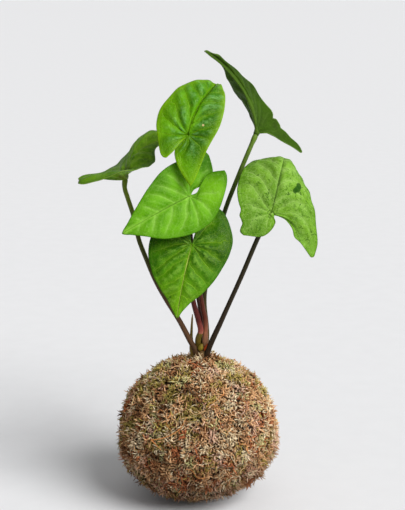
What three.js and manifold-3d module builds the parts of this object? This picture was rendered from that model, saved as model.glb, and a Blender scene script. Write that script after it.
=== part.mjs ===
// A kokedama: an arrowhead plant growing from a ball of soil wrapped in sheet moss.
// Millimetres, +Z up, the front of the plant faces -Y, the ball rests at z = 0.

import * as THREE from "three";
import { mergeVertices } from "three/addons/utils/BufferGeometryUtils.js";
import Module from "manifold-3d";

const wasm = await Module();
wasm.setup();

// The ball: taller above its middle than below, and a little fuller below
const BALL_RADIUS = 68;
const BALL_MIDDLE = 56;
const UPPER_HEIGHT = 67;
const LOWER_HEIGHT = 57.5;
const LOWER_FULLNESS = 0.94;
const MOSS_THICKNESS = 8;
const OPENING_RADIUS = 11.5;
const OPENING_CENTRE = [3, 3];
const FIT_GAP = 0.3;
const MOSS_SEGMENTS = 92;
const CORE_SEGMENTS = 44;

// The moss relief: soft waves with a rough tuft at every point
const WAVE_HEIGHT = 0.22;
const WAVE_COUNT = 9;
const FIRST_WAVE = 14;
const WAVE_STEP = 2;
const WAVE_SHIFT = 7;
const TUFT_HEIGHT = 1.4;
const TUFT_STRAY = 0.014;

// The thread that holds the moss on, in a furrow of its own
const THREAD_RADIUS = 0.45;
const THREAD_LIFT = 1;
const THREAD_TURNS = 3;
const THREAD_STEPS_A_TURN = 36;
const THREAD_TOP_ANGLE = 50;
const THREAD_LOW_ANGLE = -42;
const FURROW_HALF_WIDTH = 4.2;
const FURROW_SLOPE = 4;

// The crown: radius and height of the underground stem, the bud and the dried sheath
const CROWN_CENTRE = [4, 4];
const CROWN_PROFILE = [[0, 100], [4, 101], [7, 106], [8.4, 114]];
const CROWN_SHOULDER = [[8, 121], [6.6, 127], [4.5, 131], [0, 133]];
const BUD_SIZE = [2.1, 2.1, 2.4];
const BUD_PLACE = [2, -1.8, 134];
const DRIED_SHEATH_PATH = [[0, 4, 120], [-5.6, 4.5, 131], [-6, 4.5, 142], [-5, 4, 160]];
const DRIED_SHEATH_RADIUS = 1.6;
const DRIED_SHEATH_END_RADIUS = 0.6;

// The stalks and blades
const STALK_RADIUS = 1.95;
const STALK_FOOT_EXTRA = 0.45;
const STALK_FOOT_LENGTH = 45;
const SHEATH_EXTRA = 0.5;
const STUB_LENGTH = 8;
const STUB_SWELL = 1.1;
const STUB_END_RADIUS = 0.2;
const BLADE_THICKNESS = 0.8;
const RIB_KEEL = 0.5;
const SPOKES = 14;
const RING_SHARES = [0.2, 0.42, 0.64, 0.84, 1];
const RIB_REACH = 3.15;
const PUFF_FADE = 0.6;
const LOBE_TIP = 4.8;
const LOBE_START = 0.7;

// Roots in the soil
const ROOT_COUNT = 7;
const ROOT_RADIUS = 1.5;
const ROOT_SPREAD = 36;
const ROOT_TOP = 106;
const ROOT_BOTTOM = 44;
const ROOT_STRAY = 0.5;
const ROOT_BEND_AT = 0.55;
const ROOT_SAG = 8;
const ROOT_TAPER = 0.6;
const ROOT_CLOSES_AT = 0.94;
const ROOT_HOLE_CLOSES_AT = 0.96;

const COLOURS = {
  soil: 0x3b2a1d,
  moss: 0x8a7a4a,
  thread: 0x8d8564,
  crown: 0x6e6a35,
  stalkGreen: 0x587a26,
  stalkBrown: 0x4a3520,
  stalkRed: 0x6d3a30,
  leafFresh: 0x6fae34,
  leafMid: 0x4f9426,
  leafDeep: 0x38701f,
};

// Each leaf blade: places are [right, back, up] in mm. Both edges run from beside the
// tip, over the widest place, round the lobe and back to the notch beside the stalk;
// left and right are the blade's own, seen from above with its tip away from you.
// arch bends the rib away from a straight line, puff swells each half between rib and
// edge, and lobeStart is where on each half the spokes begin to bend into the lobe.
const LEAVES = {
  upper: {
    attach: [-8, -24, 317],
    tip: [15, 6, 355],
    arch: [-3, -9, 3],
    puff: 2,
    left: [[4, 2, 359], [-16, -6, 353], [-32, -16, 333], [-32, -26, 314], [-27, -37, 298],
      [-21, -33, 306], [-14, -28, 311]],
    right: [[19, 0, 354], [22, -10, 343], [18, -23, 325], [7, -30, 305], [-7, -38, 274],
      [-16, -33, 293], [-18, -26, 306]],
    colour: COLOURS.leafMid,
  },
  highest: {
    attach: [49, 28, 316],
    tip: [5, 22, 381],
    arch: [10, -3, 3],
    puff: 2,
    left: [[20, 23, 375.6], [43, 38, 354], [61, 48, 330], [73, 48, 314], [94, 41, 289],
      [77, 38, 301], [61, 32, 311]],
    right: [[19, 34, 370], [27, 45, 351.8], [41, 56, 333], [55, 66, 314], [81, 70, 299],
      [69, 58, 305], [57, 42, 311]],
    colour: COLOURS.leafDeep,
  },
  left: {
    attach: [-62, 5, 281],
    tip: [-23, 20, 308],
    arch: [-4, 0, 5],
    puff: 2,
    left: [[-34, 28, 315], [-49, 34, 309], [-65, 34, 290], [-80, 30, 280], [-105, 22, 277],
      [-97, 16, 273], [-74, 9, 278]],
    right: [[-31, 8, 302], [-38, -6, 293], [-44, -18, 289], [-65, -22, 282], [-102, -3, 272],
      [-94, 1, 277], [-72, 4, 279]],
    colour: COLOURS.leafDeep,
  },
  middle: {
    attach: [-7, -28, 268],
    tip: [-60, -52, 242],
    arch: [0, -2, 1],
    puff: 2,
    left: [[-44, -51, 240], [-24, -47, 237], [1, -40, 242], [17, -33, 258], [24, -22, 292],
      [9, -23, 286], [2, -25.5, 277]],
    right: [[-50, -47, 260], [-39, -38, 277], [-26, -29, 291], [-6, -20, 299], [9, -14, 307],
      [12, -17, 285], [2, -23, 275.5]],
    colour: COLOURS.leafFresh,
  },
  lowest: {
    attach: [-5, -34, 229],
    tip: [-17, -52, 173],
    arch: [-1, -4, 1],
    puff: 2,
    left: [[-8, -50, 183], [8, -45, 196], [23, -36, 216], [28, -27, 235], [18, -14, 258],
      [6, -16, 255], [-2, -28, 239]],
    right: [[-25, -50, 188], [-35, -45, 204], [-40, -38, 222], [-37, -28, 238], [-26, -16, 255],
      [-15, -17, 253], [-7, -29, 239]],
    colour: COLOURS.leafMid,
  },
  right: {
    attach: [60, -16, 252],
    tip: [73, 28, 284],
    arch: [3, -12, 24],
    puff: 2,
    left: [[57, 20, 290], [40, 2, 289], [32, -12, 272], [35, -21, 250], [37, -26, 234],
      [54, -23, 235], [63, -18, 244]],
    right: [[84, 12, 279.5], [90, 0, 268], [95, -8, 250], [98, -14, 226], [93, -20, 215],
      [84, -17, 229], [74, -15, 246]],
    lobeStart: 0.6,
    colour: COLOURS.leafMid,
  },
};

// Each stalk runs from inside the crown to where its blade attaches. sheathTop is the
// height at which the sheath of the crown ends and the free stalk begins.
const STALKS = {
  upper: {
    path: [[3, 5, 114], [2, 7, 126], [4, 8, 137], [3, 8, 150], [2, 5, 164], [0, 2, 177],
      [-6, -3, 208], [-8, -6, 238], [-8, -5, 278], [-8, -7, 299], [-8, -24, 317]],
    sheathTop: 147,
    colour: COLOURS.stalkRed,
  },
  highest: {
    path: [[6, 6, 114], [6, 9, 126], [7, 13, 143], [5, 14, 168], [6, 14, 181], [12, 15, 204],
      [22, 17, 246], [33, 20, 275], [44, 25, 303], [49, 28, 316]],
    sheathTop: 147,
    colour: COLOURS.stalkGreen,
  },
  left: {
    path: [[1, 2, 114], [-2, 0, 129], [-7, -1, 139], [-16, -2, 157], [-27, -2, 175],
      [-36, -2, 192], [-43, -1, 209], [-50, 1, 226], [-55, 3, 249], [-60, 4, 263],
      [-63, 3, 275], [-62, 5, 281]],
    sheathTop: 134,
    colour: COLOURS.stalkGreen,
  },
  middle: {
    path: [[5, 3, 114], [6, 3, 132], [6, 2, 143], [6, 0, 156], [4, -3, 167], [2, -7, 180],
      [-3, -15, 208], [-6, -19, 232], [-7, -20, 252], [-7, -28, 268]],
    sheathTop: 147,
    colour: COLOURS.stalkRed,
  },
  lowest: {
    path: [[2, 3, 114], [0, 2, 133], [0, -1, 141], [2, -3, 148], [0, -6, 159], [-4, -12, 176],
      [-6, -21, 197], [-6, -28, 217], [-5, -34, 229]],
    sheathTop: 147,
    colour: COLOURS.stalkRed,
  },
  right: {
    path: [[6, 1, 114], [8, -2, 129], [20, -6, 159], [36, -9, 197], [50, -12, 232],
      [56, -13, 244], [60, -16, 252]],
    sheathTop: 134,
    colour: COLOURS.stalkBrown,
  },
};

const vec = (place) => new THREE.Vector3(...place);
const smooth = (share) => THREE.MathUtils.smoothstep(share, 0, 1);

// A repeatable number from -1 to 1 for a whole number
function draw(seed) {
  const wave = Math.sin(seed * 12.9898 + 4.1414) * 43758.5453;
  return 2 * (wave - Math.floor(wave)) - 1;
}

function toSolid(geometry) {
  geometry.deleteAttribute("normal");
  geometry.deleteAttribute("uv");
  const merged = mergeVertices(geometry, 1e-4);
  const solid = new wasm.Manifold(new wasm.Mesh({
    numProp: 3,
    vertProperties: new Float32Array(merged.attributes.position.array),
    triVerts: new Uint32Array(merged.index.array),
  }));
  return solid;
}

function toGeometry(solid) {
  const mesh = solid.getMesh();
  const geometry = new THREE.BufferGeometry();
  geometry.setAttribute("position", new THREE.BufferAttribute(mesh.vertProperties, 3));
  geometry.setIndex(new THREE.BufferAttribute(mesh.triVerts, 1));
  geometry.computeVertexNormals();
  return geometry;
}

// A closed rod bent along a curve between two shares of its length
function bentRod(curve, from, to, radiusAt, sides, rings, across = new THREE.Vector3(1, 0, 0)) {
  const rod = new THREE.CylinderGeometry(1, 1, 1, sides, rings);
  const places = rod.attributes.position;
  for (let i = 0; i < places.count; i += 1) {
    const local = new THREE.Vector3().fromBufferAttribute(places, i);
    const share = THREE.MathUtils.lerp(from, to, Math.round((local.y + 0.5) * rings) / rings);
    const forward = curve.getTangentAt(share);
    const side = new THREE.Vector3().crossVectors(across, forward).normalize();
    const other = new THREE.Vector3().crossVectors(side, forward);
    const radius = radiusAt(share);
    const place = curve.getPointAt(share);
    place.addScaledVector(side, local.x * radius);
    place.addScaledVector(other, local.z * radius);
    places.setXYZ(i, place.x, place.y, place.z);
  }
  return rod;
}

// The share of a curve's length at which it first reaches a height
function shareAtHeight(curve, height) {
  const steps = 400;
  for (let i = 0; i <= steps; i += 1) {
    if (curve.getPointAt(i / steps).z >= height) {
      return i / steps;
    }
  }
  return 1;
}

// A place on the ball, swollen outward by a lift
function ballPlace(around, angle, lift) {
  const below = angle < 0;
  const power = below ? LOWER_FULLNESS : 1;
  const height = (below ? LOWER_HEIGHT : UPPER_HEIGHT) + lift;
  const outward = (BALL_RADIUS + lift) * Math.cos(angle) ** power;
  const rise = Math.sign(angle) * height * Math.abs(Math.sin(angle)) ** power;
  return vec([outward * Math.cos(around), outward * Math.sin(around), BALL_MIDDLE + rise]);
}

// A closed ball of even triangles, each corner lifted by an amount of its own
function shapedBall(segments, stray, liftAt) {
  return wasm.Manifold.sphere(1, segments).warp((place) => {
    const seed = Math.round(997 * place[0]) + Math.round(499 * place[1]) + Math.round(251 * place[2]);
    const direction = vec(place);
    direction.addScaledVector(vec([draw(seed), draw(seed + 5), draw(seed + 9)]), stray);
    direction.normalize();
    const around = Math.atan2(direction.y, direction.x);
    const angle = Math.asin(THREE.MathUtils.clamp(direction.z, -1, 1));
    const moved = ballPlace(around, angle, liftAt(direction, around, angle, seed));
    place[0] = moved.x;
    place[1] = moved.y;
    place[2] = Math.max(0, moved.z);
  });
}

// Where the thread's winding lies: the angle above the ball's middle after some turns
function threadAngle(turns) {
  return THREE.MathUtils.lerp(THREAD_TOP_ANGLE, THREAD_LOW_ANGLE, turns / THREAD_TURNS);
}

// How far a place on the ball is from the nearest turn of the thread, in mm
function distanceToThread(around, angle) {
  const degrees = THREE.MathUtils.radToDeg(angle);
  const firstTurn = THREE.MathUtils.euclideanModulo(around, 2 * Math.PI) / (2 * Math.PI);
  let nearest = Infinity;
  for (let turn = firstTurn; turn <= THREAD_TURNS; turn += 1) {
    const apart = Math.abs(degrees - threadAngle(turn));
    nearest = Math.min(nearest, THREE.MathUtils.degToRad(apart) * BALL_RADIUS);
  }
  return nearest;
}

function mossWaves(direction) {
  let height = 0;
  for (let i = 0; i < WAVE_COUNT; i += 1) {
    const axis = vec([draw(i + 1), draw(i + 21), draw(i + 41)]).normalize();
    height += Math.sin(direction.dot(axis) * (FIRST_WAVE + WAVE_STEP * i) + WAVE_SHIFT * draw(i + 61));
  }
  return WAVE_HEIGHT * height;
}

function mossRelief(direction, around, angle, seed) {
  const beyond = (distanceToThread(around, angle) - FURROW_HALF_WIDTH) / FURROW_SLOPE;
  return smooth(beyond) * (mossWaves(direction) + TUFT_HEIGHT * draw(seed + 17));
}

function makeMoss() {
  const inside = shapedBall(CORE_SEGMENTS, 0, () => -MOSS_THICKNESS);
  const opening = new THREE.CylinderGeometry(OPENING_RADIUS, OPENING_RADIUS, BALL_RADIUS, 20);
  opening.rotateX(Math.PI / 2);
  opening.translate(...OPENING_CENTRE, BALL_MIDDLE + BALL_RADIUS);
  const outside = shapedBall(MOSS_SEGMENTS, TUFT_STRAY, mossRelief);
  return outside.subtract(inside).subtract(toSolid(opening));
}

function makeThread() {
  const places = [];
  for (let i = 0; i <= THREAD_TURNS * THREAD_STEPS_A_TURN; i += 1) {
    const turns = i / THREAD_STEPS_A_TURN;
    const angle = THREE.MathUtils.degToRad(threadAngle(turns));
    places.push(ballPlace(2 * Math.PI * turns, angle, THREAD_LIFT));
  }
  const curve = new THREE.CatmullRomCurve3(places);
  return toSolid(bentRod(curve, 0, 1, () => THREAD_RADIUS, 5, places.length - 1,
    new THREE.Vector3(0, 0, 1)));
}

function rootCurve(number) {
  const heading = (2 * Math.PI * number) / ROOT_COUNT + ROOT_STRAY * draw(number + 81);
  const along = new THREE.Vector3(Math.cos(heading), Math.sin(heading), 0);
  const start = new THREE.Vector3(...CROWN_CENTRE, ROOT_TOP);
  const bend = start.clone().addScaledVector(along, ROOT_BEND_AT * ROOT_SPREAD);
  bend.z -= ROOT_SAG;
  const end = start.clone().addScaledVector(along, ROOT_SPREAD);
  end.z = ROOT_BOTTOM + ROOT_SAG * draw(number + 91);
  return new THREE.QuadraticBezierCurve3(start, bend, end);
}

function makeRoot(number, extra) {
  const curve = rootCurve(number);
  const radiusAt = (share) => ROOT_RADIUS * (1 - ROOT_TAPER * share) + extra;
  const end = extra > 0 ? ROOT_HOLE_CLOSES_AT : ROOT_CLOSES_AT;
  return toSolid(bentRod(curve, 0, end, radiusAt, 6, 6, new THREE.Vector3(0.3, 0.2, 1)));
}

// The underground stem, turned about the crown's own axis
function crownBody(extra, straightTop) {
  const profile = CROWN_PROFILE.map(([radius, height]) => [radius && radius + extra, height - extra]);
  if (straightTop) {
    const widest = profile.at(-1)[0];
    profile.push([widest, BALL_MIDDLE + BALL_RADIUS], [0, BALL_MIDDLE + BALL_RADIUS]);
  } else {
    profile.push(...CROWN_SHOULDER);
  }
  const points = profile.map(([radius, height]) => new THREE.Vector2(radius, height));
  const body = new THREE.LatheGeometry(points, 16);
  body.rotateX(Math.PI / 2);
  body.translate(...CROWN_CENTRE, 0);
  return toSolid(body);
}

function stalkCurve(stalk) {
  return new THREE.CatmullRomCurve3(stalk.path.map(vec), false, "centripetal");
}

// Stalks are thicker towards the sheath
function stalkRadius(stalk, height) {
  return STALK_RADIUS + STALK_FOOT_EXTRA * (1 - smooth((height - stalk.sheathTop) / STALK_FOOT_LENGTH));
}

function makeSheath(stalk) {
  const curve = stalkCurve(stalk);
  const top = shareAtHeight(curve, stalk.sheathTop);
  const radiusAt = (share) => stalkRadius(stalk, 0) + SHEATH_EXTRA * (1 - share / top);
  return toSolid(bentRod(curve, 0, top, radiusAt, 8, 5));
}

function makeBud() {
  const bud = new THREE.SphereGeometry(1, 8, 6);
  bud.scale(...BUD_SIZE);
  bud.translate(...BUD_PLACE);
  return toSolid(bud);
}

// A dried leaf sheath that stands beside the stalks
function makeDriedSheath() {
  const curve = new THREE.CatmullRomCurve3(DRIED_SHEATH_PATH.map(vec), false, "centripetal");
  const radiusAt = (share) => THREE.MathUtils.lerp(DRIED_SHEATH_RADIUS, DRIED_SHEATH_END_RADIUS, share);
  return toSolid(bentRod(curve, 0, 1, radiusAt, 6, 5));
}

function makeCrown() {
  let crown = crownBody(0, false).add(makeBud()).add(makeDriedSheath());
  for (const stalk of Object.values(STALKS)) {
    crown = crown.add(makeSheath(stalk));
  }
  for (let i = 0; i < ROOT_COUNT; i += 1) {
    crown = crown.add(makeRoot(i, 0));
  }
  return crown;
}

function makeSoil() {
  const ball = shapedBall(CORE_SEGMENTS, 0, () => -MOSS_THICKNESS - FIT_GAP);
  let soil = ball.subtract(crownBody(FIT_GAP, true));
  for (let i = 0; i < ROOT_COUNT; i += 1) {
    soil = soil.subtract(makeRoot(i, FIT_GAP));
  }
  return soil;
}

// The shares of a stalk's length where the free stalk begins and ends
function stalkSpan(stalk) {
  const curve = stalkCurve(stalk);
  const length = curve.getLength();
  const begin = shareAtHeight(curve, stalk.sheathTop) + FIT_GAP / length;
  const end = 1 - (STUB_LENGTH + FIT_GAP) / length;
  return { curve, begin, end, stub: 1 - STUB_LENGTH / length };
}

function makeStalk(stalk) {
  const span = stalkSpan(stalk);
  const radiusAt = (share) => stalkRadius(stalk, span.curve.getPointAt(share).z);
  return toSolid(bentRod(span.curve, span.begin, span.end, radiusAt, 8, 12));
}

// The top of a stalk that has grown into its blade, swelling and then closing at the rib
function makeStub(stalk) {
  const span = stalkSpan(stalk);
  const radiusAt = (share) => {
    const along = (share - span.stub) / (1 - span.stub);
    const closing = Math.sqrt(Math.max(0, 1 - along ** 4));
    return (STALK_RADIUS + STUB_SWELL * along) * closing + STUB_END_RADIUS * along;
  };
  return toSolid(bentRod(span.curve, span.stub, 1, radiusAt, 8, 5));
}

// The way the blade's face points, from its widest places and its rib
function faceDirection(leaf) {
  const across = vec(leaf.right[2]).sub(vec(leaf.left[2]));
  const along = vec(leaf.tip).sub(vec(leaf.attach)).addScaledVector(vec(leaf.arch), 2);
  return across.cross(along).normalize();
}

// One half of a blade as spokes of places, from the rib round to the tip of its lobe. The
// spokes bend more and more into the lobe, and the last one follows the edge of the notch.
// RIB_REACH and LOBE_TIP are counted in the spans between the places of the edge.
function halfBlade(leaf, edge) {
  const attach = vec(leaf.attach);
  const outline = new THREE.CatmullRomCurve3([leaf.tip, ...edge].map(vec), false, "catmullrom", 0.5);
  const lobeTip = outline.getPoint(LOBE_TIP / edge.length);
  const notch = new THREE.CatmullRomCurve3([attach, ...edge.slice(5).reverse().map(vec), lobeTip],
    false, "catmullrom", 0.5);
  const face = faceDirection(leaf);
  const lobeStart = leaf.lobeStart ?? LOBE_START;
  const spokes = [];
  for (let i = 0; i <= SPOKES; i += 1) {
    const turn = i / SPOKES;
    const spans = LOBE_TIP * turn;
    const ribShare = spans < RIB_REACH ? Math.cos((0.5 * Math.PI * spans) / RIB_REACH) ** 2 : 0;
    const fade = 1 - smooth((turn - PUFF_FADE) / (1 - PUFF_FADE));
    const bend = vec(leaf.arch).multiplyScalar(ribShare);
    bend.addScaledVector(face, (1 - ribShare) * fade * leaf.puff);
    const lobeShare = smooth((turn - lobeStart) / (1 - lobeStart));
    const reach = outline.getPoint(spans / edge.length).sub(attach);
    spokes.push(RING_SHARES.map((share) => {
      const place = attach.clone().addScaledVector(reach, share);
      place.addScaledVector(bend, 4 * share * (1 - share));
      const bow = notch.getPoint(share).sub(attach.clone().lerp(lobeTip, share));
      return place.addScaledVector(bow, lobeShare);
    }));
  }
  return spokes;
}

// The places of a blade's middle surface: the attach place, then spokes from notch to notch
function bladePlaces(leaf) {
  const left = halfBlade(leaf, leaf.left).reverse();
  const right = halfBlade(leaf, leaf.right).slice(1);
  return [vec(leaf.attach), ...left.flat(), ...right.flat()];
}

// The number of the place on a spoke and ring; ring -1 is the attach place
function placeNumber(spoke, ring) {
  return ring < 0 ? 0 : 1 + spoke * RING_SHARES.length + ring;
}

// The faces and the rim of the part of a blade between two spokes
function bladePatch(first, last) {
  const outermost = RING_SHARES.length - 1;
  const faces = [];
  for (let s = first; s < last; s += 1) {
    faces.push([0, placeNumber(s, 0), placeNumber(s + 1, 0)]);
    for (let r = 0; r < outermost; r += 1) {
      const corner = placeNumber(s + 1, r + 1);
      faces.push([placeNumber(s, r), placeNumber(s, r + 1), corner]);
      faces.push([placeNumber(s, r), corner, placeNumber(s + 1, r)]);
    }
  }
  const rim = [];
  for (let r = -1; r <= outermost; r += 1) {
    rim.push(placeNumber(first, r));
  }
  for (let s = first + 1; s < last; s += 1) {
    rim.push(placeNumber(s, outermost));
  }
  for (let r = outermost; r >= 0; r -= 1) {
    rim.push(placeNumber(last, r));
  }
  return { faces, rim };
}

function surfaceNormals(places, faces) {
  const surface = new THREE.BufferGeometry().setFromPoints(places);
  surface.setIndex(faces.flat());
  surface.computeVertexNormals();
  return places.map((_, i) => new THREE.Vector3().fromBufferAttribute(surface.attributes.normal, i));
}

// A patch of a blade closed between its front and back places
function closedPatch({ faces, rim }, front, back) {
  const count = front.length;
  const index = [];
  for (const [a, b, c] of faces) {
    index.push(a, b, c, a + count, c + count, b + count);
  }
  for (let i = 0; i < rim.length; i += 1) {
    const a = rim[i];
    const b = rim[(i + 1) % rim.length];
    if (a < b) {
      index.push(b, a, a + count, b, a + count, b + count);
    } else {
      index.push(b, a, b + count, a, a + count, b + count);
    }
  }
  const patch = new THREE.BufferGeometry().setFromPoints([...front, ...back]);
  patch.setIndex(index);
  return toSolid(patch);
}

// A thin closed blade. Its thickness and the raised rib lie below the modelled surface, so
// that the walls of a folded blade don't meet inside the fold.
function makeBlade(leaf) {
  const places = bladePlaces(leaf);
  const patches = [bladePatch(0, SPOKES), bladePatch(SPOKES, 2 * SPOKES)];
  const normals = surfaceNormals(places, patches.flatMap((patch) => patch.faces));
  const rib = new Set(RING_SHARES.slice(0, -1).map((_, r) => placeNumber(SPOKES, r)));
  const upward = Math.sign(faceDirection(leaf).dot(normals[placeNumber(SPOKES, 1)]));
  const offset = (side) => places.map((place, i) => {
    const depth = BLADE_THICKNESS + (rib.has(i) ? RIB_KEEL : 0);
    return place.clone().addScaledVector(normals[i], side === upward ? 0 : side * depth);
  });
  const [left, right] = patches.map((patch) => closedPatch(patch, offset(1), offset(-1)));
  return left.add(right);
}

const plant = new THREE.Group();
plant.name = "kokedama";

function addPiece(name, solid, colour, roughness) {
  const material = new THREE.MeshStandardMaterial({ color: colour, roughness, metalness: 0 });
  const mesh = new THREE.Mesh(toGeometry(solid), material);
  mesh.name = name;
  plant.add(mesh);
}

addPiece("soil_ball", makeSoil(), COLOURS.soil, 0.95);
addPiece("moss_cover", makeMoss(), COLOURS.moss, 0.95);
addPiece("binding_thread", makeThread(), COLOURS.thread, 0.4);
addPiece("crown_and_roots", makeCrown(), COLOURS.crown, 0.7);
for (const [name, stalk] of Object.entries(STALKS)) {
  addPiece(`stalk_${name}`, makeStalk(stalk), stalk.colour, 0.5);
  const leaf = LEAVES[name];
  addPiece(`leaf_${name}`, makeBlade(leaf).add(makeStub(stalk)), leaf.colour, 0.45);
}

export default plant;
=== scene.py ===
# %% [markdown]
# # A kokedama: an arrowhead plant in a moss ball
#
# The object is a ball of soil wrapped in dry moss, with six arrow-shaped leaves on long
# stalks growing out of its top. The measured model gives the size and place of each
# part. This script puts finer pieces over the same places: leaves with veins and a soft
# quilted surface, tapering stalks, and a shaggy coat of moss made of small curled sprigs.

import math

import bpy
import numpy as np
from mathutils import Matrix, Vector, noise


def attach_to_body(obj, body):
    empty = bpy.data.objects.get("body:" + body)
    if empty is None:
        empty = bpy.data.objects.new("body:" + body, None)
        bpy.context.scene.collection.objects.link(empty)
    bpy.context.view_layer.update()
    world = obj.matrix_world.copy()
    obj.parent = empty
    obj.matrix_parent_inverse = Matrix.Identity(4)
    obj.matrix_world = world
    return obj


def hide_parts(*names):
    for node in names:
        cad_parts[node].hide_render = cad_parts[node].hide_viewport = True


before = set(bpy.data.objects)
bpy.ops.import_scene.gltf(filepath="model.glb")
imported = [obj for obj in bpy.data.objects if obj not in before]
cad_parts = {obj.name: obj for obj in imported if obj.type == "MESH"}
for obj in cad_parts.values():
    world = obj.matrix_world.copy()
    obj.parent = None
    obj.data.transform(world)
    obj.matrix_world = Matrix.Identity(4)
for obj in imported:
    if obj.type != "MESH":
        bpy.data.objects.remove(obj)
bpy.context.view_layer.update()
MM = 0.001

# %% [markdown]
# ## Camera
#
# The plant is seen from a little above its middle, from about a metre away, with a long
# lens that keeps the near leaves from looking too large. The camera could be aimed by
# hand in the viewport, but numbers give the same view each time.

# %% Camera
CAMERA_PLACE = (0.0036, -0.941, 0.422)
CAMERA_PITCH = 77.5
CAMERA_LENS = 81.18
CAMERA_SENSOR = 36
FARTHEST = 2000


def add_camera():
    camera = bpy.data.objects.new("camera", bpy.data.cameras.new("camera"))
    bpy.context.scene.collection.objects.link(camera)
    camera.location = CAMERA_PLACE
    camera.rotation_euler = (math.radians(CAMERA_PITCH), 0, 0)
    camera.data.lens = CAMERA_LENS
    camera.data.sensor_width = CAMERA_SENSOR
    camera.data.clip_end = FARTHEST
    bpy.context.scene.camera = camera


add_camera()
print("camera at", CAMERA_PLACE)

# %% [markdown]
# ## Light
#
# A studio gives a small plant one wide soft light from the upper right, a weak one from
# the front left and a weak one from behind. An even glow all round, stronger on the right,
# keeps the shadows open. Lamps with a size would do the same, but a sun with a wide angle
# lights near and far leaves alike. Behind the plant the camera sees a plain pale backdrop,
# brighter than the glow that falls on the leaves, so that they keep their deep greens.

# %% Light
GLOW = (0.12, 0.5)
GLOW_COLOUR = (250, 251, 253)
BACKDROP = 0.9
SOFT_LIGHTS = [
    ("key light", (0.85, -0.72, 0.95), 3.5, 40),
    ("fill light", (-0.3, -1, 0.4), 0.15, 90),
    ("back light", (-0.2, 1, 0.7), 0.3, 90),
]


def rgb(red, green, blue):
    """A colour as seen on a screen, 0 to 255, turned into the linear colour of a shader."""
    shares = [value / 255 for value in (red, green, blue)]
    linear = [s / 12.92 if s <= 0.04045 else ((s + 0.055) / 1.055) ** 2.4 for s in shares]
    return (*linear, 1)


def deselect_all():
    bpy.ops.object.select_all(action="DESELECT")


def add_soft_light(name, direction, strength, spread):
    bpy.ops.object.light_add(type="SUN")
    light = bpy.context.object
    light.name = name
    light.rotation_euler = Vector(direction).to_track_quat("Z", "Y").to_euler()
    light.data.energy = strength
    light.data.angle = math.radians(spread)


def add_glow():
    """A glow that grows from left to right, with a plain backdrop for the camera alone."""
    world = bpy.data.worlds.new("studio")
    world.use_nodes = True
    tree = world.node_tree
    direction = tree.nodes.new("ShaderNodeSeparateXYZ")
    tree.links.new(tree.nodes.new("ShaderNodeTexCoord").outputs["Generated"], direction.inputs[0])
    slope = tree.nodes.new("ShaderNodeMapRange")
    for socket, value in zip(slope.inputs, (0, -1, 1, *GLOW)):
        socket.default_value = value
    tree.links.new(direction.outputs["X"], slope.inputs["Value"])
    seen = tree.nodes.new("ShaderNodeMath")
    seen.operation = "MAXIMUM"
    backdrop = tree.nodes.new("ShaderNodeMath")
    backdrop.operation = "MULTIPLY"
    backdrop.inputs[1].default_value = BACKDROP
    tree.links.new(tree.nodes.new("ShaderNodeLightPath").outputs["Is Camera Ray"], backdrop.inputs[0])
    tree.links.new(slope.outputs["Result"], seen.inputs[0])
    tree.links.new(backdrop.outputs[0], seen.inputs[1])
    tree.links.new(seen.outputs[0], tree.nodes["Background"].inputs["Strength"])
    tree.nodes["Background"].inputs["Color"].default_value = rgb(*GLOW_COLOUR)
    bpy.context.scene.world = world


bpy.context.scene.view_settings.view_transform = "Standard"
deselect_all()
add_glow()
for name, direction, strength, spread in SOFT_LIGHTS:
    add_soft_light(name, direction, strength, spread)
print(len(SOFT_LIGHTS), "soft lights")

# %% [markdown]
# ## Floor
#
# The ball stands on a plain pale surface. One flat plane is enough for it, made so large
# that its far edge can't be seen.

# %% Floor
FLOOR_SIZE = 2000
bpy.ops.mesh.primitive_plane_add(size=FLOOR_SIZE, location=(0, 0, 0))
floor = bpy.context.object
floor.name = "floor"
print("floor", FLOOR_SIZE, "m wide")

# %% [markdown]
# ## Small helpers for nodes
#
# A material is a chain of nodes. It could be laid out by hand in the shader editor. In a
# script, helpers that add a node, set its values and join it to others let each material
# below read as a short list of what it is made of.

# %% Helpers for nodes
# A Mix node's colour sockets, which share their names with its number sockets.
MIX_FIRST = 6
MIX_SECOND = 7
MIX_RESULT = 2


def link(tree, source, socket):
    """Joins a node's output to a socket, or writes a plain value into it."""
    if isinstance(source, bpy.types.NodeSocket):
        tree.links.new(source, socket)
    elif source is not None:
        socket.default_value = source


def add_math(tree, operation, first, second=None, clamp=False):
    node = tree.nodes.new("ShaderNodeMath")
    node.operation = operation
    node.use_clamp = clamp
    for socket, value in zip(node.inputs, (first, second)):
        link(tree, value, socket)
    return node.outputs[0]


def times(tree, first, second):
    return add_math(tree, "MULTIPLY", first, second)


def add_range(tree, value, low, high, to_low=0.0, to_high=1.0):
    """A soft step: to_low where the value is at low, to_high where it is at high."""
    node = tree.nodes.new("ShaderNodeMapRange")
    node.interpolation_type = "SMOOTHSTEP"
    for name, source in (("Value", value), ("From Min", low), ("From Max", high),
                         ("To Min", to_low), ("To Max", to_high)):
        link(tree, source, node.inputs[name])
    return node.outputs["Result"]


def add_mix(tree, factor, first, second, blend="MIX"):
    node = tree.nodes.new("ShaderNodeMix")
    node.data_type = "RGBA"
    node.blend_type = blend
    link(tree, factor, node.inputs["Factor"])
    link(tree, first, node.inputs[MIX_FIRST])
    link(tree, second, node.inputs[MIX_SECOND])
    return node.outputs[MIX_RESULT]


def add_attribute(tree, name):
    node = tree.nodes.new("ShaderNodeAttribute")
    node.attribute_name = name
    return node.outputs["Fac"]


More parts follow.
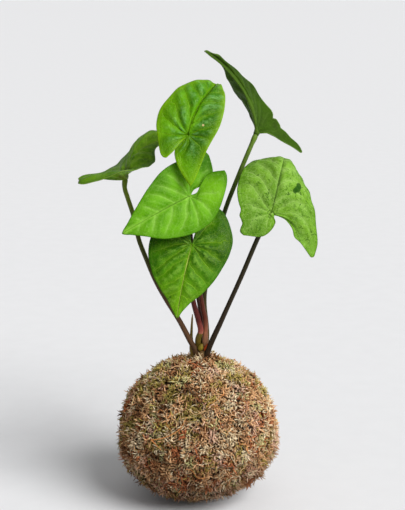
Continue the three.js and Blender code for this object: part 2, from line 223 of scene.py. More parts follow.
def add_noise(tree, vector, scale, detail=3.0, roughness=0.55, distortion=0.0):
    node = tree.nodes.new("ShaderNodeTexNoise")
    link(tree, vector, node.inputs["Vector"])
    node.inputs["Scale"].default_value = scale
    node.inputs["Detail"].default_value = detail
    node.inputs["Roughness"].default_value = roughness
    node.inputs["Distortion"].default_value = distortion
    return node.outputs["Fac"]


def add_ramp(tree, value, stops):
    """A colour ramp with a colour at each place from 0 to 1."""
    node = tree.nodes.new("ShaderNodeValToRGB")
    ramp = node.color_ramp
    while len(ramp.elements) > 1:
        ramp.elements.remove(ramp.elements[-1])
    ramp.elements[0].position, ramp.elements[0].color = stops[0]
    for position, colour in stops[1:]:
        ramp.elements.new(position).color = colour
    link(tree, value, node.inputs["Fac"])
    return node.outputs["Color"]


print("helpers for nodes are ready")

# %% [markdown]
# ## Small helpers for materials and groups
#
# All materials here start from the same shader. An effect that several of them share, such
# as the veins of the leaves, is a node group with named inputs and outputs. The nodes could
# be copied into each material instead, but then each change would be made many times.

# %% Helpers for materials and groups
def object_places(tree):
    return tree.nodes.new("ShaderNodeTexCoord").outputs["Object"]


def new_material(name, roughness=0.5):
    material = bpy.data.materials.new(name)
    material.use_nodes = True
    tree = material.node_tree
    shader = tree.nodes["Principled BSDF"]
    shader.inputs["Roughness"].default_value = roughness
    return material, tree, shader


def add_bump(tree, height, shader, strength, distance):
    node = tree.nodes.new("ShaderNodeBump")
    node.inputs["Strength"].default_value = strength
    node.inputs["Distance"].default_value = distance
    link(tree, height, node.inputs["Height"])
    tree.links.new(node.outputs["Normal"], shader.inputs["Normal"])


def new_group(name, inputs, outputs):
    """A node group with named number inputs and outputs."""
    group = bpy.data.node_groups.new(name, "ShaderNodeTree")
    for socket_name, value in inputs.items():
        socket = group.interface.new_socket(socket_name, in_out="INPUT", socket_type="NodeSocketFloat")
        socket.default_value = value
    for socket_name in outputs:
        group.interface.new_socket(socket_name, in_out="OUTPUT", socket_type="NodeSocketFloat")
    start = group.nodes.new("NodeGroupInput")
    end = group.nodes.new("NodeGroupOutput")
    return group, start.outputs, end.inputs


def place_group(tree, group, **values):
    node = tree.nodes.new("ShaderNodeGroup")
    node.node_tree = group
    for name, value in values.items():
        node.inputs[name.replace("_", " ")].default_value = value
    return node.outputs


print("helpers for materials are ready")

# %% [markdown]
# ## Finish of the floor
#
# The floor is matt and nearly white. A plain colour would do, but faint grain keeps it from
# looking like plastic.

# %% Finish of the floor
FLOOR_GRAIN = 40
material, tree, shader = new_material("pale floor", 0.8)
grain = add_noise(tree, object_places(tree), FLOOR_GRAIN, 2)
link(tree, add_mix(tree, grain, rgb(224, 224, 225), rgb(229, 229, 230)), shader.inputs["Base Color"])
floor.data.materials.append(material)
print(floor.name, "has", material.name)

# %% [markdown]
# ## The leaves' places
#
# An arrowhead leaf has a midrib from the stalk to the tip, and two lobes that reach back
# past the stalk. Each leaf is given by places in mm: where it attaches to its stalk, its
# tip, and seven places round each half's edge, from the tip to the notch between the lobes.
# They start from those of the measured model and are moved by some millimetres where the
# finer leaf can follow the real one more closely. The other values are habits of a leaf:
# how much it swells, how round its lobes are, and where its edge has nicks and slits. A
# value that a leaf doesn't name comes from the list of habits that most leaves share.

# %% Places of the leaves
LEAF_HABITS = dict(puff=2, pillow=0.8, groove=0.6, ripple=0.35, ripples=40, quilt=0.3, funnel=1.3,
                   rib_veins=6.5, wander=1, lobe_start=0.7, lobe_round=0.05, tip_width=0.4,
                   turned_over=False)
LEAVES = {
    "upper": dict(
        LEAF_HABITS, attach=(-8, -24, 317), tip=(15, 6, 355), arch=(-3, -9, 3), pillow=1.1,
        lobe_round=0.13, right_lobe_round=0.03, rib_veins=4, wander=1.2, quilt=0.55,
        left=[(4, 2, 359), (-16, -6, 353), (-32, -16, 333), (-32, -26, 314), (-27, -37, 295.5),
              (-20, -33, 304.5), (-14, -28, 311)],
        right=[(19, 0, 354), (22, -10, 343), (18, -23, 325), (7, -30, 305), (-8, -38.5, 272.5),
               (-16, -33, 293), (-18, -26, 306)]),
    "highest": dict(
        LEAF_HABITS, attach=(49, 28, 312), tip=(5, 22, 381), arch=(10, -3, 3),
        left=[(20, 23, 375.6), (43, 38, 354), (61, 48, 330), (73, 48, 314), (97, 40.5, 286.5),
              (77, 38, 301), (61, 32, 311)],
        right=[(19, 34, 370), (27, 45, 351.8), (41, 56, 333), (55, 66, 314), (81, 70, 299),
               (69, 58, 305), (57, 42, 311)],
        turned_over=True, lobe_round=0.14, tip_width=1.5, funnel=2.2,
        left_nicks=[(3.36, 0.09, 2.2), (3.05, 0.2, -1.0), (3.95, 0.08, 1.2), (4.3, 0.1, 1.6),
                    (1.25, 0.3, 1.0)],
        right_nicks=[(1.9, 0.12, -1.4), (2.2, 0.1, 1.2), (1.3, 0.2, 1.2)]),
    "left": dict(
        LEAF_HABITS, attach=(-60.3, 4, 279), tip=(-23, 20, 308), arch=(-5, 0, 8), lobe_round=0.12,
        funnel=2.1, rib_veins=5, quilt=0.5,
        left=[(-34, 28, 315), (-49, 34, 309), (-65, 34, 290), (-80, 30, 280), (-106, 22, 276.5),
              (-97, 16, 273), (-74, 9, 278)],
        right=[(-35, 8, 302), (-35.5, -6, 293), (-44, -17, 289.5), (-65, -19, 285), (-105, -3, 270),
               (-95, 2, 278.5), (-66, 2, 276.5)]),
    "middle": dict(
        LEAF_HABITS, attach=(-7, -28, 268), tip=(-60, -52, 242), arch=(0, -2, 1), rib_veins=4,
        wander=0.7, lobe_round=0.08,
        left=[(-44, -51, 240), (-24, -47, 237), (1, -40, 242), (17, -33, 258), (25.5, -22, 293.5),
              (9, -23, 286), (2, -25.5, 277)],
        right=[(-50, -47, 260), (-39, -38, 277), (-26, -29, 291), (-6, -20, 299), (9.5, -14, 303.5),
               (12, -17, 285), (2, -23, 275.5)],
        left_slit=(0.17, 0.12, (1.5, 0, -1.8)), right_slit=(0.17, 0.12, (-1.0, 0, 1.4))),
    "lowest": dict(
        LEAF_HABITS, attach=(-5, -34, 229), tip=(-17, -52, 173), arch=(-1, -4, 1), pillow=1.5,
        wander=1.1, rib_veins=4.6, quilt=0.5,
        left=[(-8, -50, 183), (8, -45, 196), (23, -36, 216), (28, -27, 235), (18, -14, 258),
              (6, -16, 255), (-2, -28, 239)],
        right=[(-25, -50, 188), (-35, -45, 204), (-40, -38, 222), (-37, -28, 238), (-26, -16, 255),
               (-15, -17, 253), (-7, -29, 239)]),
    "right": dict(
        LEAF_HABITS, attach=(60, -16, 252), tip=(73, 28, 284), arch=(3, -12, 24),
        left=[(57, 20, 290), (40, 2, 289), (32, -12, 272), (35, -21, 250), (35.5, -26, 233.5),
              (54, -23, 235), (63, -18, 244)],
        right=[(84, 12, 279.5), (91.5, 0, 267.5), (96.5, -8, 250), (98, -14, 224), (92, -20, 213.5),
               (83, -17, 228.5), (72.5, -15, 245)],
        lobe_start=0.6, groove=0.15, ripple=0.6, ripples=34,
        left_nicks=[(3.7, 0.12, 0.8), (3.95, 0.12, -1.2), (4.3, 0.12, 1.2), (4.6, 0.1, -0.6)],
        left_slit=(0.75, 0.1, (0, 0, -0.6)), right_slit=(0.58, 0.07, (-1.6, 0, -1)),
        right_nicks=[(1.1, 0.15, 0.7)]),
}
print(len(LEAVES), "leaves")

# %% [markdown]
# ## Smooth lines
#
# A leaf's edge and a stalk are smooth lines. A curve object could carry them, but here a
# few lines of arithmetic give any place on a line through given points, which the bent
# grids below need for thousands of corners at once.

# %% Smooth lines
def smooth(share):
    share = np.clip(share, 0, 1)
    return share * share * (3 - 2 * share)


def unit(vector):
    return vector / np.linalg.norm(vector)


def smooth_line(points, share):
    """Places on a smooth line through points, for shares from 0 to 1 of its spans."""
    points = np.array(points, float)
    padded = np.vstack([2 * points[0] - points[1], points, 2 * points[-1] - points[-2]])
    place = np.clip(share, 0, 1) * (len(points) - 1)
    first = np.minimum(place.astype(int), len(points) - 2)
    f = (place - first)[:, None]
    a, b, c, d = (padded[first + step] for step in range(4))
    return 0.5 * (2 * b + (c - a) * f + (2 * a - 5 * b + 4 * c - d) * f**2
                  + (3 * b - a - 3 * c + d) * f**3)


print("a line of 3 points passes", smooth_line([(0, 0), (1, 1), (2, 0)], np.array([0.25]))[0])

# %% [markdown]
# ## Bending a flat grid into a leaf
#
# A blade could be cut out of a plane or sculpted. Bending a flat grid is more exact: one
# direction of the grid runs from the notch on the left, past the tip, to the notch on the
# right, and the other runs from the stalk out to the edge. Both halves follow a smooth line
# through their places, the midrib gets its own bend, and each lobe is swept round so that
# its inner edge follows the notch.

# %% Bending one half
SPOKES = 96
RINGS = 36
RIB_REACH = 3.15
PUFF_FADE = 0.6
LOBE_TIP = 4.8
LOBE_ROUND_START = 0.9
TIP_REACH = 0.15
NO_SLIT = (0, 1, (0, 0, 0))


def upper_side(leaf):
    """The way that a leaf's upper side faces."""
    across = np.subtract(leaf["right"][2], leaf["left"][2])
    along = np.subtract(leaf["tip"], leaf["attach"]) + 2 * np.array(leaf["arch"])
    return unit(np.cross(across, along))


def edge_reach(leaf, side, spans):
    """The way from the stalk to the edge, with a blunter tip and the edge's nicks."""
    points = [leaf["tip"], *leaf[side]]
    reach = smooth_line(points, spans / len(leaf[side])) - np.array(leaf["attach"], float)
    across = unit(np.subtract(leaf[side][2], leaf["attach"]))
    wider = leaf["tip_width"] * (spans / TIP_REACH) * np.exp(1 - spans / TIP_REACH)
    reach += wider[:, None] * across
    for middle, width, depth in leaf.get(side + "_nicks", ()):
        dent = depth * np.exp(-(((spans - middle) / width) ** 2))
        reach *= (1 - dent / np.linalg.norm(reach, axis=1))[:, None]
    return reach


def half_leaf(leaf, side, turn, share):
    """Places on one half: turn runs from the tip to the lobe, share from stalk to edge."""
    attach = np.array(leaf["attach"], float)
    edge = leaf[side]
    spans = LOBE_TIP * turn
    lobe_tip = smooth_line([leaf["tip"], *edge], np.array([LOBE_TIP / len(edge)]))[0]
    rib_share = np.where(spans < RIB_REACH, np.cos(0.5 * np.pi * spans / RIB_REACH) ** 2, 0)
    fade = 1 - smooth((turn - PUFF_FADE) / (1 - PUFF_FADE))
    bend = rib_share[:, None] * np.array(leaf["arch"], float)
    bend += ((1 - rib_share) * fade * leaf["puff"])[:, None] * upper_side(leaf)
    lobe_share = smooth((turn - leaf["lobe_start"]) / (1 - leaf["lobe_start"]))
    end_share = np.clip((turn - LOBE_ROUND_START) / (1 - LOBE_ROUND_START), 0, 1)
    share = share * (1 - leaf.get(side + "_lobe_round", leaf["lobe_round"]) * end_share**3)
    notch = smooth_line([attach, edge[6], edge[5], lobe_tip], share)
    middle, width, shift = leaf.get(side + "_slit", NO_SLIT)
    notch = notch + np.exp(-(((share - middle) / width) ** 2))[:, None] * np.array(shift, float)
    places = attach + share[:, None] * edge_reach(leaf, side, spans)
    places = places + (4 * share * (1 - share))[:, None] * bend
    straight = attach + share[:, None] * (lobe_tip - attach)
    return places + lobe_share[:, None] * (notch - straight)


def leaf_places(leaf, grid):
    """Places for the corners of a flat grid that runs from -1 to 1 both ways."""
    turn = np.abs(grid[:, 0])
    share = 0.5 * (grid[:, 1] + 1)
    left = half_leaf(leaf, "left", turn, share)
    right = half_leaf(leaf, "right", turn, share)
    return np.where(grid[:, :1] < 0, left, right)


print("each leaf starts as a grid of", 2 * SPOKES, "by", RINGS)

# %% [markdown]
# ## Corners and unevenness
#
# Nothing on a plant is even. A noise texture in a material only changes how a surface
# looks, so the shapes get smooth noise of their own, read at each corner of a mesh.

# %% Corners and unevenness
def read_corners(mesh, name="co"):
    values = np.empty(3 * len(mesh.vertices))
    mesh.vertices.foreach_get(name, values)
    return values.reshape(-1, 3)


def write_corners(mesh, places):
    mesh.vertices.foreach_set("co", places.ravel())
    mesh.update()


def noise_at(places, size, shift=0.0):
    """Smooth noise from about -1 to 1 with features of a size in mm."""
    move = Vector((shift, 2 * shift, -shift))
    return np.array([noise.noise(Vector(place) / size + move) for place in places])


print("noise at one place", round(float(noise_at([(10, 20, 30)], 7)[0]), 3))

# %% [markdown]
# ## Veins
#
# The veins decide how a leaf looks: strong side veins leave the midrib at a slant and
# curve towards the tip, others fan out into the lobes, and one runs just inside the edge.
# They could be painted as a picture, but then they would blur close up. Here the leaf is
# unrolled flat, each corner learns how far it is from midrib and edge and where it lies
# between two side veins, and the material draws crisp lines from these numbers.

# %% Vein maps on the leaf
VEIN_ANGLE = math.radians(50)
VEIN_BOW = 0.55
SIDE_SHIFT = 0.25
FAN_STEP = math.radians(34)


def nearest_distance(places, line):
    """How far each place is from a line of points."""
    gaps = places[:, None, :] - line[None, :, :]
    return np.sqrt((gaps**2).sum(axis=2).min(axis=1))


def unroll(places):
    """Flat coordinates of a leaf's corners: along the midrib, and out from it."""
    steps = np.linalg.norm(np.diff(places, axis=1), axis=2)
    radius = np.concatenate([np.zeros((len(places), 1)), np.cumsum(steps, axis=1)], axis=1)
    inner, outer = radius[:-1, 1:], radius[1:, 1:]
    chord = np.linalg.norm(np.diff(places[:, 1:], axis=0), axis=2)
    cosine = (inner**2 + outer**2 - chord**2) / (2 * inner * outer)
    steps = np.arccos(np.clip(cosine, -1, 1))
    turned = np.concatenate([np.zeros((1, RINGS)), np.cumsum(steps, axis=0)])
    turned = np.concatenate([turned[:, :1], turned], axis=1)
    angle = turned - turned[SPOKES]
    return radius * np.cos(angle), radius * np.sin(angle)


def vein_maps(along, out, rib_length, rib_veins):
    """Which side vein a place is nearest to, and how far apart the veins are there."""
    spacing = rib_length / rib_veins
    width = np.abs(out)
    bent = along - VEIN_BOW * width**2 / rib_length
    base = bent - width / math.tan(VEIN_ANGLE)
    spread = (VEIN_ANGLE - np.arctan2(width, bent)) / FAN_STEP
    shift = np.where(out < 0, 0, SIDE_SHIFT) * smooth(base / spacing)
    phase = np.where(base < 0, spread, base / spacing + shift)
    gap = np.where(base < 0, np.hypot(bent, width) * FAN_STEP, spacing * math.sin(VEIN_ANGLE))
    return phase, gap


def write_map(mesh, name, values):
    mesh.attributes.new(name, "FLOAT", "POINT").data.foreach_set("value", values.ravel())


print("side veins every", round(math.degrees(FAN_STEP)), "degrees in the lobes")

# %% [markdown]
# ## Relief and thickness of a blade
#
# A young arrowhead leaf is quilted: it swells between the veins, sinks along the midrib and
# is slightly wavy at its edge. From below the ribs stand out, and the blade is thickest
# where it joins its stalk. The swelling could be drawn in the material alone, but a leaf is
# often seen from its side, so it is part of the shape.

# %% Relief and thickness
BLADE = 0.45
KEEL = 1.1
KEEL_WIDTH = 1.1
KEEL_REACH = 25
FUNNEL_REACH = 3
THICKEST = 2.6
PILLOW_FROM_RIB = 5
PILLOW_FROM_EDGE = 7
PILLOW_GAP = 5
GROOVE_WIDTH = 1.3
EDGE_FADE = 8
STALK_FADE = 9
RIPPLE_REACH = 10
SWELL = 0.9
SWELL_SIZE = 14
QUILT_SIZE = 6


def leaf_relief(leaf, places, maps, seed):
    """How far each corner is lifted towards the upper side, in mm."""
    pillow = np.sin(np.pi * maps["phase"]) ** 2
    pillow *= smooth(maps["across"] / PILLOW_FROM_RIB) * smooth(maps["edge"] / PILLOW_FROM_EDGE)
    pillow *= smooth(maps["gap"] / PILLOW_GAP)
    inside = smooth(maps["edge"] / EDGE_FADE) * smooth(maps["reach"] / STALK_FADE)
    groove = np.exp(-((maps["across"] / GROOVE_WIDTH) ** 2)) * inside
    ripple = (1 - smooth(maps["edge"] / RIPPLE_REACH)) * np.sin(maps["around"] * leaf["ripples"] + seed)
    quilt = noise_at(places, QUILT_SIZE, seed) * inside
    lift = leaf["pillow"] * pillow - leaf["groove"] * groove + leaf["ripple"] * ripple
    return lift + SWELL * noise_at(places, SWELL_SIZE, seed) + leaf["quilt"] * quilt


def leaf_thickness(leaf, maps):
    keel = KEEL * np.exp(-((maps["across"] / KEEL_WIDTH) ** 2)) * smooth(maps["edge"] / KEEL_REACH)
    funnel = leaf["funnel"] * np.exp(-((maps["reach"] / FUNNEL_REACH) ** 2))
    return np.minimum(BLADE + keel + funnel, THICKEST)


print("a blade is", BLADE, "to", THICKEST, "mm thick")

# %% [markdown]
# ## Numbers for the veins
#
# Each corner of a leaf carries a few named numbers, such as how far it is from the midrib.
# They are kept as attributes of the mesh, which a material can read. The place among the
# veins wanders a little, so that no two veins run quite alike.

# %% Numbers for the veins
WANDER = [(0.3, 19), (0.09, 5)]
NOTCH_START = 8
MAP_NAMES = ["phase", "gap", "across", "edge", "along", "out", "reach"]


def leaf_maps(leaf, grid, places, seed):
    """Named numbers for each corner: distances in mm, and places among the veins."""
    column = np.rint((grid[:, 0] + 1) * SPOKES).astype(int)
    row = np.rint((grid[:, 1] + 1) * 0.5 * RINGS).astype(int)
    table = np.zeros((2 * SPOKES + 1, RINGS + 1, 3))
    table[column, row] = places
    along, out = unroll(table)
    phase, gap = vein_maps(along, out, along[SPOKES, -1], leaf["rib_veins"])
    flat = np.stack([along, out, np.zeros_like(out)], axis=2)[column, row]
    wander = leaf["wander"] * sum(depth * noise_at(flat, size, seed) for depth, size in WANDER)
    border = np.concatenate([table[:, -1], table[0, NOTCH_START:], table[-1, NOTCH_START:]])
    return {
        "phase": phase[column, row] + wander,
        "gap": gap[column, row],
        "along": along[column, row],
        "out": out[column, row],
        "across": nearest_distance(places, table[SPOKES]),
        "edge": nearest_distance(places, border),
        "reach": np.linalg.norm(places - table[0, 0], axis=1),
        "around": grid[:, 0],
    }


print("each corner knows its", ", ".join(MAP_NAMES))

# %% [markdown]
# ## Making a blade
#
# The grid is bent, gets its relief and its numbers, and its doubled corners at the stalk
# are merged. A Solidify modifier then gives it the thickness of a leaf. It grows downwards
# only, so the upper side stays where it was measured, and a vertex group makes it thicker
# along the ribs.

# %% Making a blade
UV_SCALE = 0.01
WELD = 0.00002
SEED_STEP = 3.7


def make_leaf(name, leaf, seed):
    deselect_all()
    bpy.ops.mesh.primitive_grid_add(x_subdivisions=2 * SPOKES, y_subdivisions=RINGS, size=2)
    piece = bpy.context.object
    piece.name = "blade_" + name
    mesh = piece.data
    grid = read_corners(mesh)
    places = leaf_places(leaf, grid)
    maps = leaf_maps(leaf, grid, places, seed)
    write_corners(mesh, places * MM)
    normals = read_corners(mesh, "normal")
    write_corners(mesh, (places + normals * leaf_relief(leaf, places, maps, seed)[:, None]) * MM)
    for key in MAP_NAMES:
        write_map(mesh, key, maps[key])
    flat = np.stack([maps["out"], maps["along"]], axis=1)
    corners = np.empty(len(mesh.loops), int)
    mesh.loops.foreach_get("vertex_index", corners)
    mesh.uv_layers.active.data.foreach_set("uv", (flat[corners] * UV_SCALE + 0.5).ravel())
    group = piece.vertex_groups.new(name="thickness")
    for index, thickness in enumerate(leaf_thickness(leaf, maps) / THICKEST):
        group.add([index], thickness, "REPLACE")
    return piece


def thicken_leaf(piece):
    bpy.ops.object.mode_set(mode="EDIT")
    bpy.ops.mesh.select_all(action="SELECT")
    bpy.ops.mesh.remove_doubles(threshold=WELD)
    bpy.ops.object.mode_set(mode="OBJECT")
    wall = piece.modifiers.new("wall", "SOLIDIFY")
    wall.thickness = THICKEST * MM
    wall.offset = -1
    wall.vertex_group = "thickness"
    wall.thickness_vertex_group = 0
    bpy.ops.object.modifier_apply(modifier="wall")
    bpy.ops.object.shade_smooth()


blades = {}
for number, (name, leaf) in enumerate(LEAVES.items()):
    blades[name] = make_leaf(name, leaf, SEED_STEP * number)
    thicken_leaf(blades[name])
    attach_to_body(blades[name], "root")
    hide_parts("leaf_" + name)
    print(blades[name].name, len(blades[name].data.polygons), "faces")

# %% [markdown]
# ## Masks for the veins
#
# On the real leaf the veins are paler than the blade, with thinner ones between them, a
# fine net everywhere and a lighter line along the edge. Two more masks place painted shade
# in the creases beside the side veins and a painted sheen on the swellings between them.
# All leaves share one node group that turns the numbers at the corners into masks. A
# picture of veins would be quicker, but masks stay crisp close up, and each leaf can use
# them with its own strengths.

# %% Masks for the veins
VEIN_MASKS = ["Veins", "Glow", "Rib", "Rib Glow", "Margin", "Net", "Crease Shade", "Pillow Sheen", "Height"]
VEIN_SETTINGS = {"Vein Width": 0.5, "Rib Width": 0.9, "Margin Width": 1.2, "Net Size": 45.0,
                 "Glow Reach": 0.3}
HEM_PLACE = 2.8
HEM_WIDTH = 0.45


def near_whole(tree, value):
    """How far a value is from the nearest whole number."""
    return add_math(tree, "ABSOLUTE", add_math(tree, "SUBTRACT", value, add_math(tree, "ROUND", value)))


def vein_lines(tree, phase, gap, edge, cloud, width):
    """Side veins with thinner ones between them, and the one that runs inside the edge."""
    away = times(tree, near_whole(tree, phase), gap)
    between = times(tree, near_whole(tree, add_math(tree, "ADD", phase, 0.5)), gap)
    inside = times(tree, add_range(tree, edge, 1.5, 7.0), add_range(tree, gap, 0.8, 2.5))
    strength = times(tree, inside, add_range(tree, cloud, 0.3, 0.6, 0.35, 1.0))
    line = times(tree, add_range(tree, away, width, 0.05), strength)
    thin = add_range(tree, between, times(tree, width, 0.7), 0.05)
    thin = times(tree, times(tree, thin, strength), 0.4)
    hem = add_math(tree, "ABSOLUTE", add_math(tree, "SUBTRACT", edge, HEM_PLACE))
    hem = times(tree, add_range(tree, hem, HEM_WIDTH, 0.0), 0.3)
    return add_math(tree, "MAXIMUM", add_math(tree, "MAXIMUM", line, thin), hem)


def vein_net(tree, flat, cloud, size):
    """The fine net between the veins."""
    cells = tree.nodes.new("ShaderNodeTexVoronoi")
    cells.feature = "DISTANCE_TO_EDGE"
    tree.links.new(flat, cells.inputs["Vector"])
    link(tree, size, cells.inputs["Scale"])
    net = add_range(tree, cells.outputs["Distance"], 0.13, 0.0)
    return times(tree, net, add_range(tree, cloud, 0.4, 0.65, 0.2, 1.0))


def quilt_masks(tree, phase, across, cloud):
    """Painted shade in the creases by the veins, and painted sheen on the swellings between."""
    crease_shade = times(tree, add_range(tree, across, 1.5, 4), add_range(tree, across, 17, 7))
    crease_shade = times(tree, crease_shade, add_range(tree, cloud, 0.4, 0.6))
    beside = near_whole(tree, add_math(tree, "SUBTRACT", phase, 0.17))
    crease_shade = times(tree, crease_shade, add_range(tree, beside, 0.16, 0.02))
    pillow_sheen = times(tree, add_range(tree, across, 2, 5), add_range(tree, across, 22, 10))
    pillow_sheen = times(tree, pillow_sheen, add_range(tree, cloud, 0.42, 0.58))
    return crease_shade, times(tree, pillow_sheen, add_range(tree, near_whole(tree, phase), 0.2, 0.42))


def build_vein_group():
    group, given, results = new_group("leaf veins", VEIN_SETTINGS, VEIN_MASKS)
    phase, gap, across, edge = (add_attribute(group, name) for name in ("phase", "gap", "across", "edge"))
    flat = group.nodes.new("ShaderNodeTexCoord").outputs["UV"]
    cloud = add_noise(group, flat, 26, 4, 0.65)
    veins = vein_lines(group, phase, gap, edge, cloud, given["Vein Width"])
    spread = add_math(group, "ADD", near_whole(group, phase), times(group, cloud, -0.5))
    glow = add_range(group, spread, given["Glow Reach"], -0.3)
    glow = times(group, glow, add_range(group, edge, 2.0, 12.0, 0.15, 1.0))
    crease_shade, pillow_sheen = quilt_masks(group, phase, across, cloud)
    rib = add_range(group, across, given["Rib Width"], 0.1)
    rib_glow = add_range(group, across, add_range(group, cloud, 0.3, 0.7, 2.4, 4.2), 0.3)
    margin = add_range(group, edge, given["Margin Width"], 0.0)
    net = vein_net(group, flat, cloud, given["Net Size"])
    height = add_math(group, "SUBTRACT", times(group, veins, -0.6), rib)
    height = add_math(group, "SUBTRACT", height, times(group, net, 0.3))
    values = (veins, glow, rib, rib_glow, margin, net, crease_shade, pillow_sheen, height)
    for name, value in zip(VEIN_MASKS, values):
        link(group, value, results[name])
    return group


VEINS = build_vein_group()
print("vein group", len(VEINS.nodes), "nodes")

# %% [markdown]
# ## Spots and flecks
#
# Real leaves aren't clean: one has a small scar, one a dark patch and many short dashes,
# and each is a little darker or lighter in some places. On the middle leaf some soft clouds
# are painted shade and light instead, among them the shadow of the upper leaf. Dashes and
# freckles come from noise. A spot or a soft cloud of another green has a place of its own,
# so its mask is the distance to that place.

# %% Spots and flecks
SPOT_RAGGED = 0.4
WASH_CORE = 0.3


def add_layer(tree, colour, mask, strength, layer):
    """Puts a layer of colour on, as strong as the mask times a strength."""
    return add_mix(tree, add_math(tree, "MULTIPLY", mask, strength, clamp=True), colour, layer)


def distance_to(tree, places, middle):
    away = tree.nodes.new("ShaderNodeVectorMath")
    away.operation = "DISTANCE"
    tree.links.new(places, away.inputs[0])
    away.inputs[1].default_value = [value * MM for value in middle]
    return away.outputs["Value"]


def add_spot(tree, places, middle, radius):
    """A mask for one small ragged spot round a place in mm."""
    rough = times(tree, add_noise(tree, places, 600, 3, 0.7), SPOT_RAGGED * radius * MM)
    reach = add_math(tree, "ADD", distance_to(tree, places, middle), rough)
    half = 0.5 * SPOT_RAGGED
    return add_range(tree, reach, (1 + half) * radius * MM, (0.75 + half) * radius * MM)


def add_wash(tree, places, middle, radius):
    """A soft cloud round a place in mm, full in the middle and gone at the radius."""
    return add_range(tree, distance_to(tree, places, middle), radius * MM, WASH_CORE * radius * MM)


def add_flecks(tree, colour, places, tint):
    """Dark dashes and freckles that crowd together in some parts of the blade."""
    crowd = add_range(tree, add_noise(tree, places, 52, 3), 0.3, 0.6, 0.2, 1.0)
    dashes = add_range(tree, add_noise(tree, places, 300, 3, 0.6, 1.4), 0.58, 0.62)
    freckles = add_range(tree, add_noise(tree, places, 130, 4, 0.75, 0.6), 0.50, 0.64)
    colour = add_layer(tree, colour, times(tree, freckles, crowd), 0.45, tint[0])
    return add_layer(tree, colour, times(tree, dashes, crowd), 0.8, tint[1])


print("a spot's edge wanders by", SPOT_RAGGED, "of its radius")

# %% [markdown]
# ## The skin of a leaf
#
# The upper side of a real leaf is waxy, with a soft gloss that is a little green, and its
# veins are sunk. The underside is duller, and its veins stand out. Either look is built as a
# painter would: blotches of two greens, then fine grain, then changes towards edge or tip,
# some of them painted light and shade, then the veins, one layer over another, each as
# strong as the leaf's own look says. Among the vein layers are painted shade in the
# creases and a painted sheen on the swellings between the veins.

# %% The skin of a leaf
LEAF_GLOSS = (0.9, 1, 0.45, 1)
BUMP_HEIGHT = 0.0006
GLOSS_SPREAD = 0.08
COMMON_LOOK = dict(vein_width=0.5, rib_width=0.7, margin_width=1.3, glow_reach=0.3, mottle=4, grain=0.3,
                   glow=0.4, crease_shade=0, pillow_sheen=0, rib_glow=0.4, net=0.25, veins=0.6, rib=0.7,
                   margins=0.6, bump=0.7, specular=0.16, gradients=(), washes=(), spots=())
# The crease layer is painted shade, and the pillow layer a painted sheen.
VEIN_LAYERS = [("Glow", "glow", "glow_colour"), ("Crease Shade", "crease_shade", "deep"),
               ("Pillow Sheen", "pillow_sheen", "sheen_colour"), ("Rib Glow", "rib_glow", "glow_colour"),
               ("Net", "net", "vein"), ("Veins", "veins", "vein"),
               ("Rib", "rib", "rib_colour"), ("Margin", "margins", "margin")]


def paint_leaf(tree, look, masks, places, blotch, fine):
    """The colour of a leaf, laid on in layers."""
    colour = add_mix(tree, blotch, look["deep"], look["mid"])
    colour = add_layer(tree, colour, fine, look["grain"], look["light"])
    for key, low, high, strength, tint in look["gradients"]:
        change = add_range(tree, add_attribute(tree, key), low, high)
        colour = add_layer(tree, colour, change, strength, tint)
    for middle, radius, strength, tint in look["washes"]:
        colour = add_layer(tree, colour, add_wash(tree, places, middle, radius), strength, tint)
    for mask, strength, tint in VEIN_LAYERS:
        colour = add_layer(tree, colour, masks[mask], look[strength], look[tint])
    if "flecks" in look:
        colour = add_flecks(tree, colour, places, look["flecks"])
    for middle, radius, tint in look["spots"]:
        colour = add_layer(tree, colour, add_spot(tree, places, middle, radius), 0.9, tint)
    return colour


def leaf_material(name, own_look, raised):
    """The skin of a leaf. raised is -1 where the veins stand out instead of being sunk."""
    look = {**COMMON_LOOK, "sheen_colour": own_look["light"], "rib_colour": own_look["vein"], **own_look}
    material, tree, shader = new_material(name, look["roughness"])
    masks = place_group(tree, VEINS, Vein_Width=look["vein_width"], Rib_Width=look["rib_width"],
                        Margin_Width=look["margin_width"], Glow_Reach=look["glow_reach"])
    places = object_places(tree)
    blotch = add_range(tree, add_noise(tree, places, 55, look["mottle"], 0.62), 0.36, 0.62)
    fine = add_range(tree, add_noise(tree, places, 300, 4, 0.7), 0.35, 0.68)
    link(tree, paint_leaf(tree, look, masks, places, blotch, fine), shader.inputs["Base Color"])
    height = add_math(tree, "ADD", times(tree, masks["Height"], raised), times(tree, fine, 0.3))
    add_bump(tree, height, shader, look["bump"], BUMP_HEIGHT)
    low, high = look["roughness"] - GLOSS_SPREAD, look["roughness"] + GLOSS_SPREAD
    link(tree, add_range(tree, blotch, 0.0, 1.0, low, high), shader.inputs["Roughness"])
    shader.inputs["Specular IOR Level"].default_value = look["specular"]
    shader.inputs["Specular Tint"].default_value = LEAF_GLOSS
    return material


print("a leaf's colour has up to", len(VEIN_LAYERS), "layers of veins")

# %% [markdown]
# ## Looks of the leaves
#
# The six leaves are of different ages and face the light differently: the left one is dark,
# the middle one is fresh with pale veins, and the right one is blotched and flecked. The
# highest one is turned over and shows its dull, dark underside to the front. One material
# with one look would make them all alike, so each leaf has its own greens and strengths. A
# gradient names the number that it follows, where it starts and ends, its strength and its
# colour. A wash or a spot has a place and a radius.

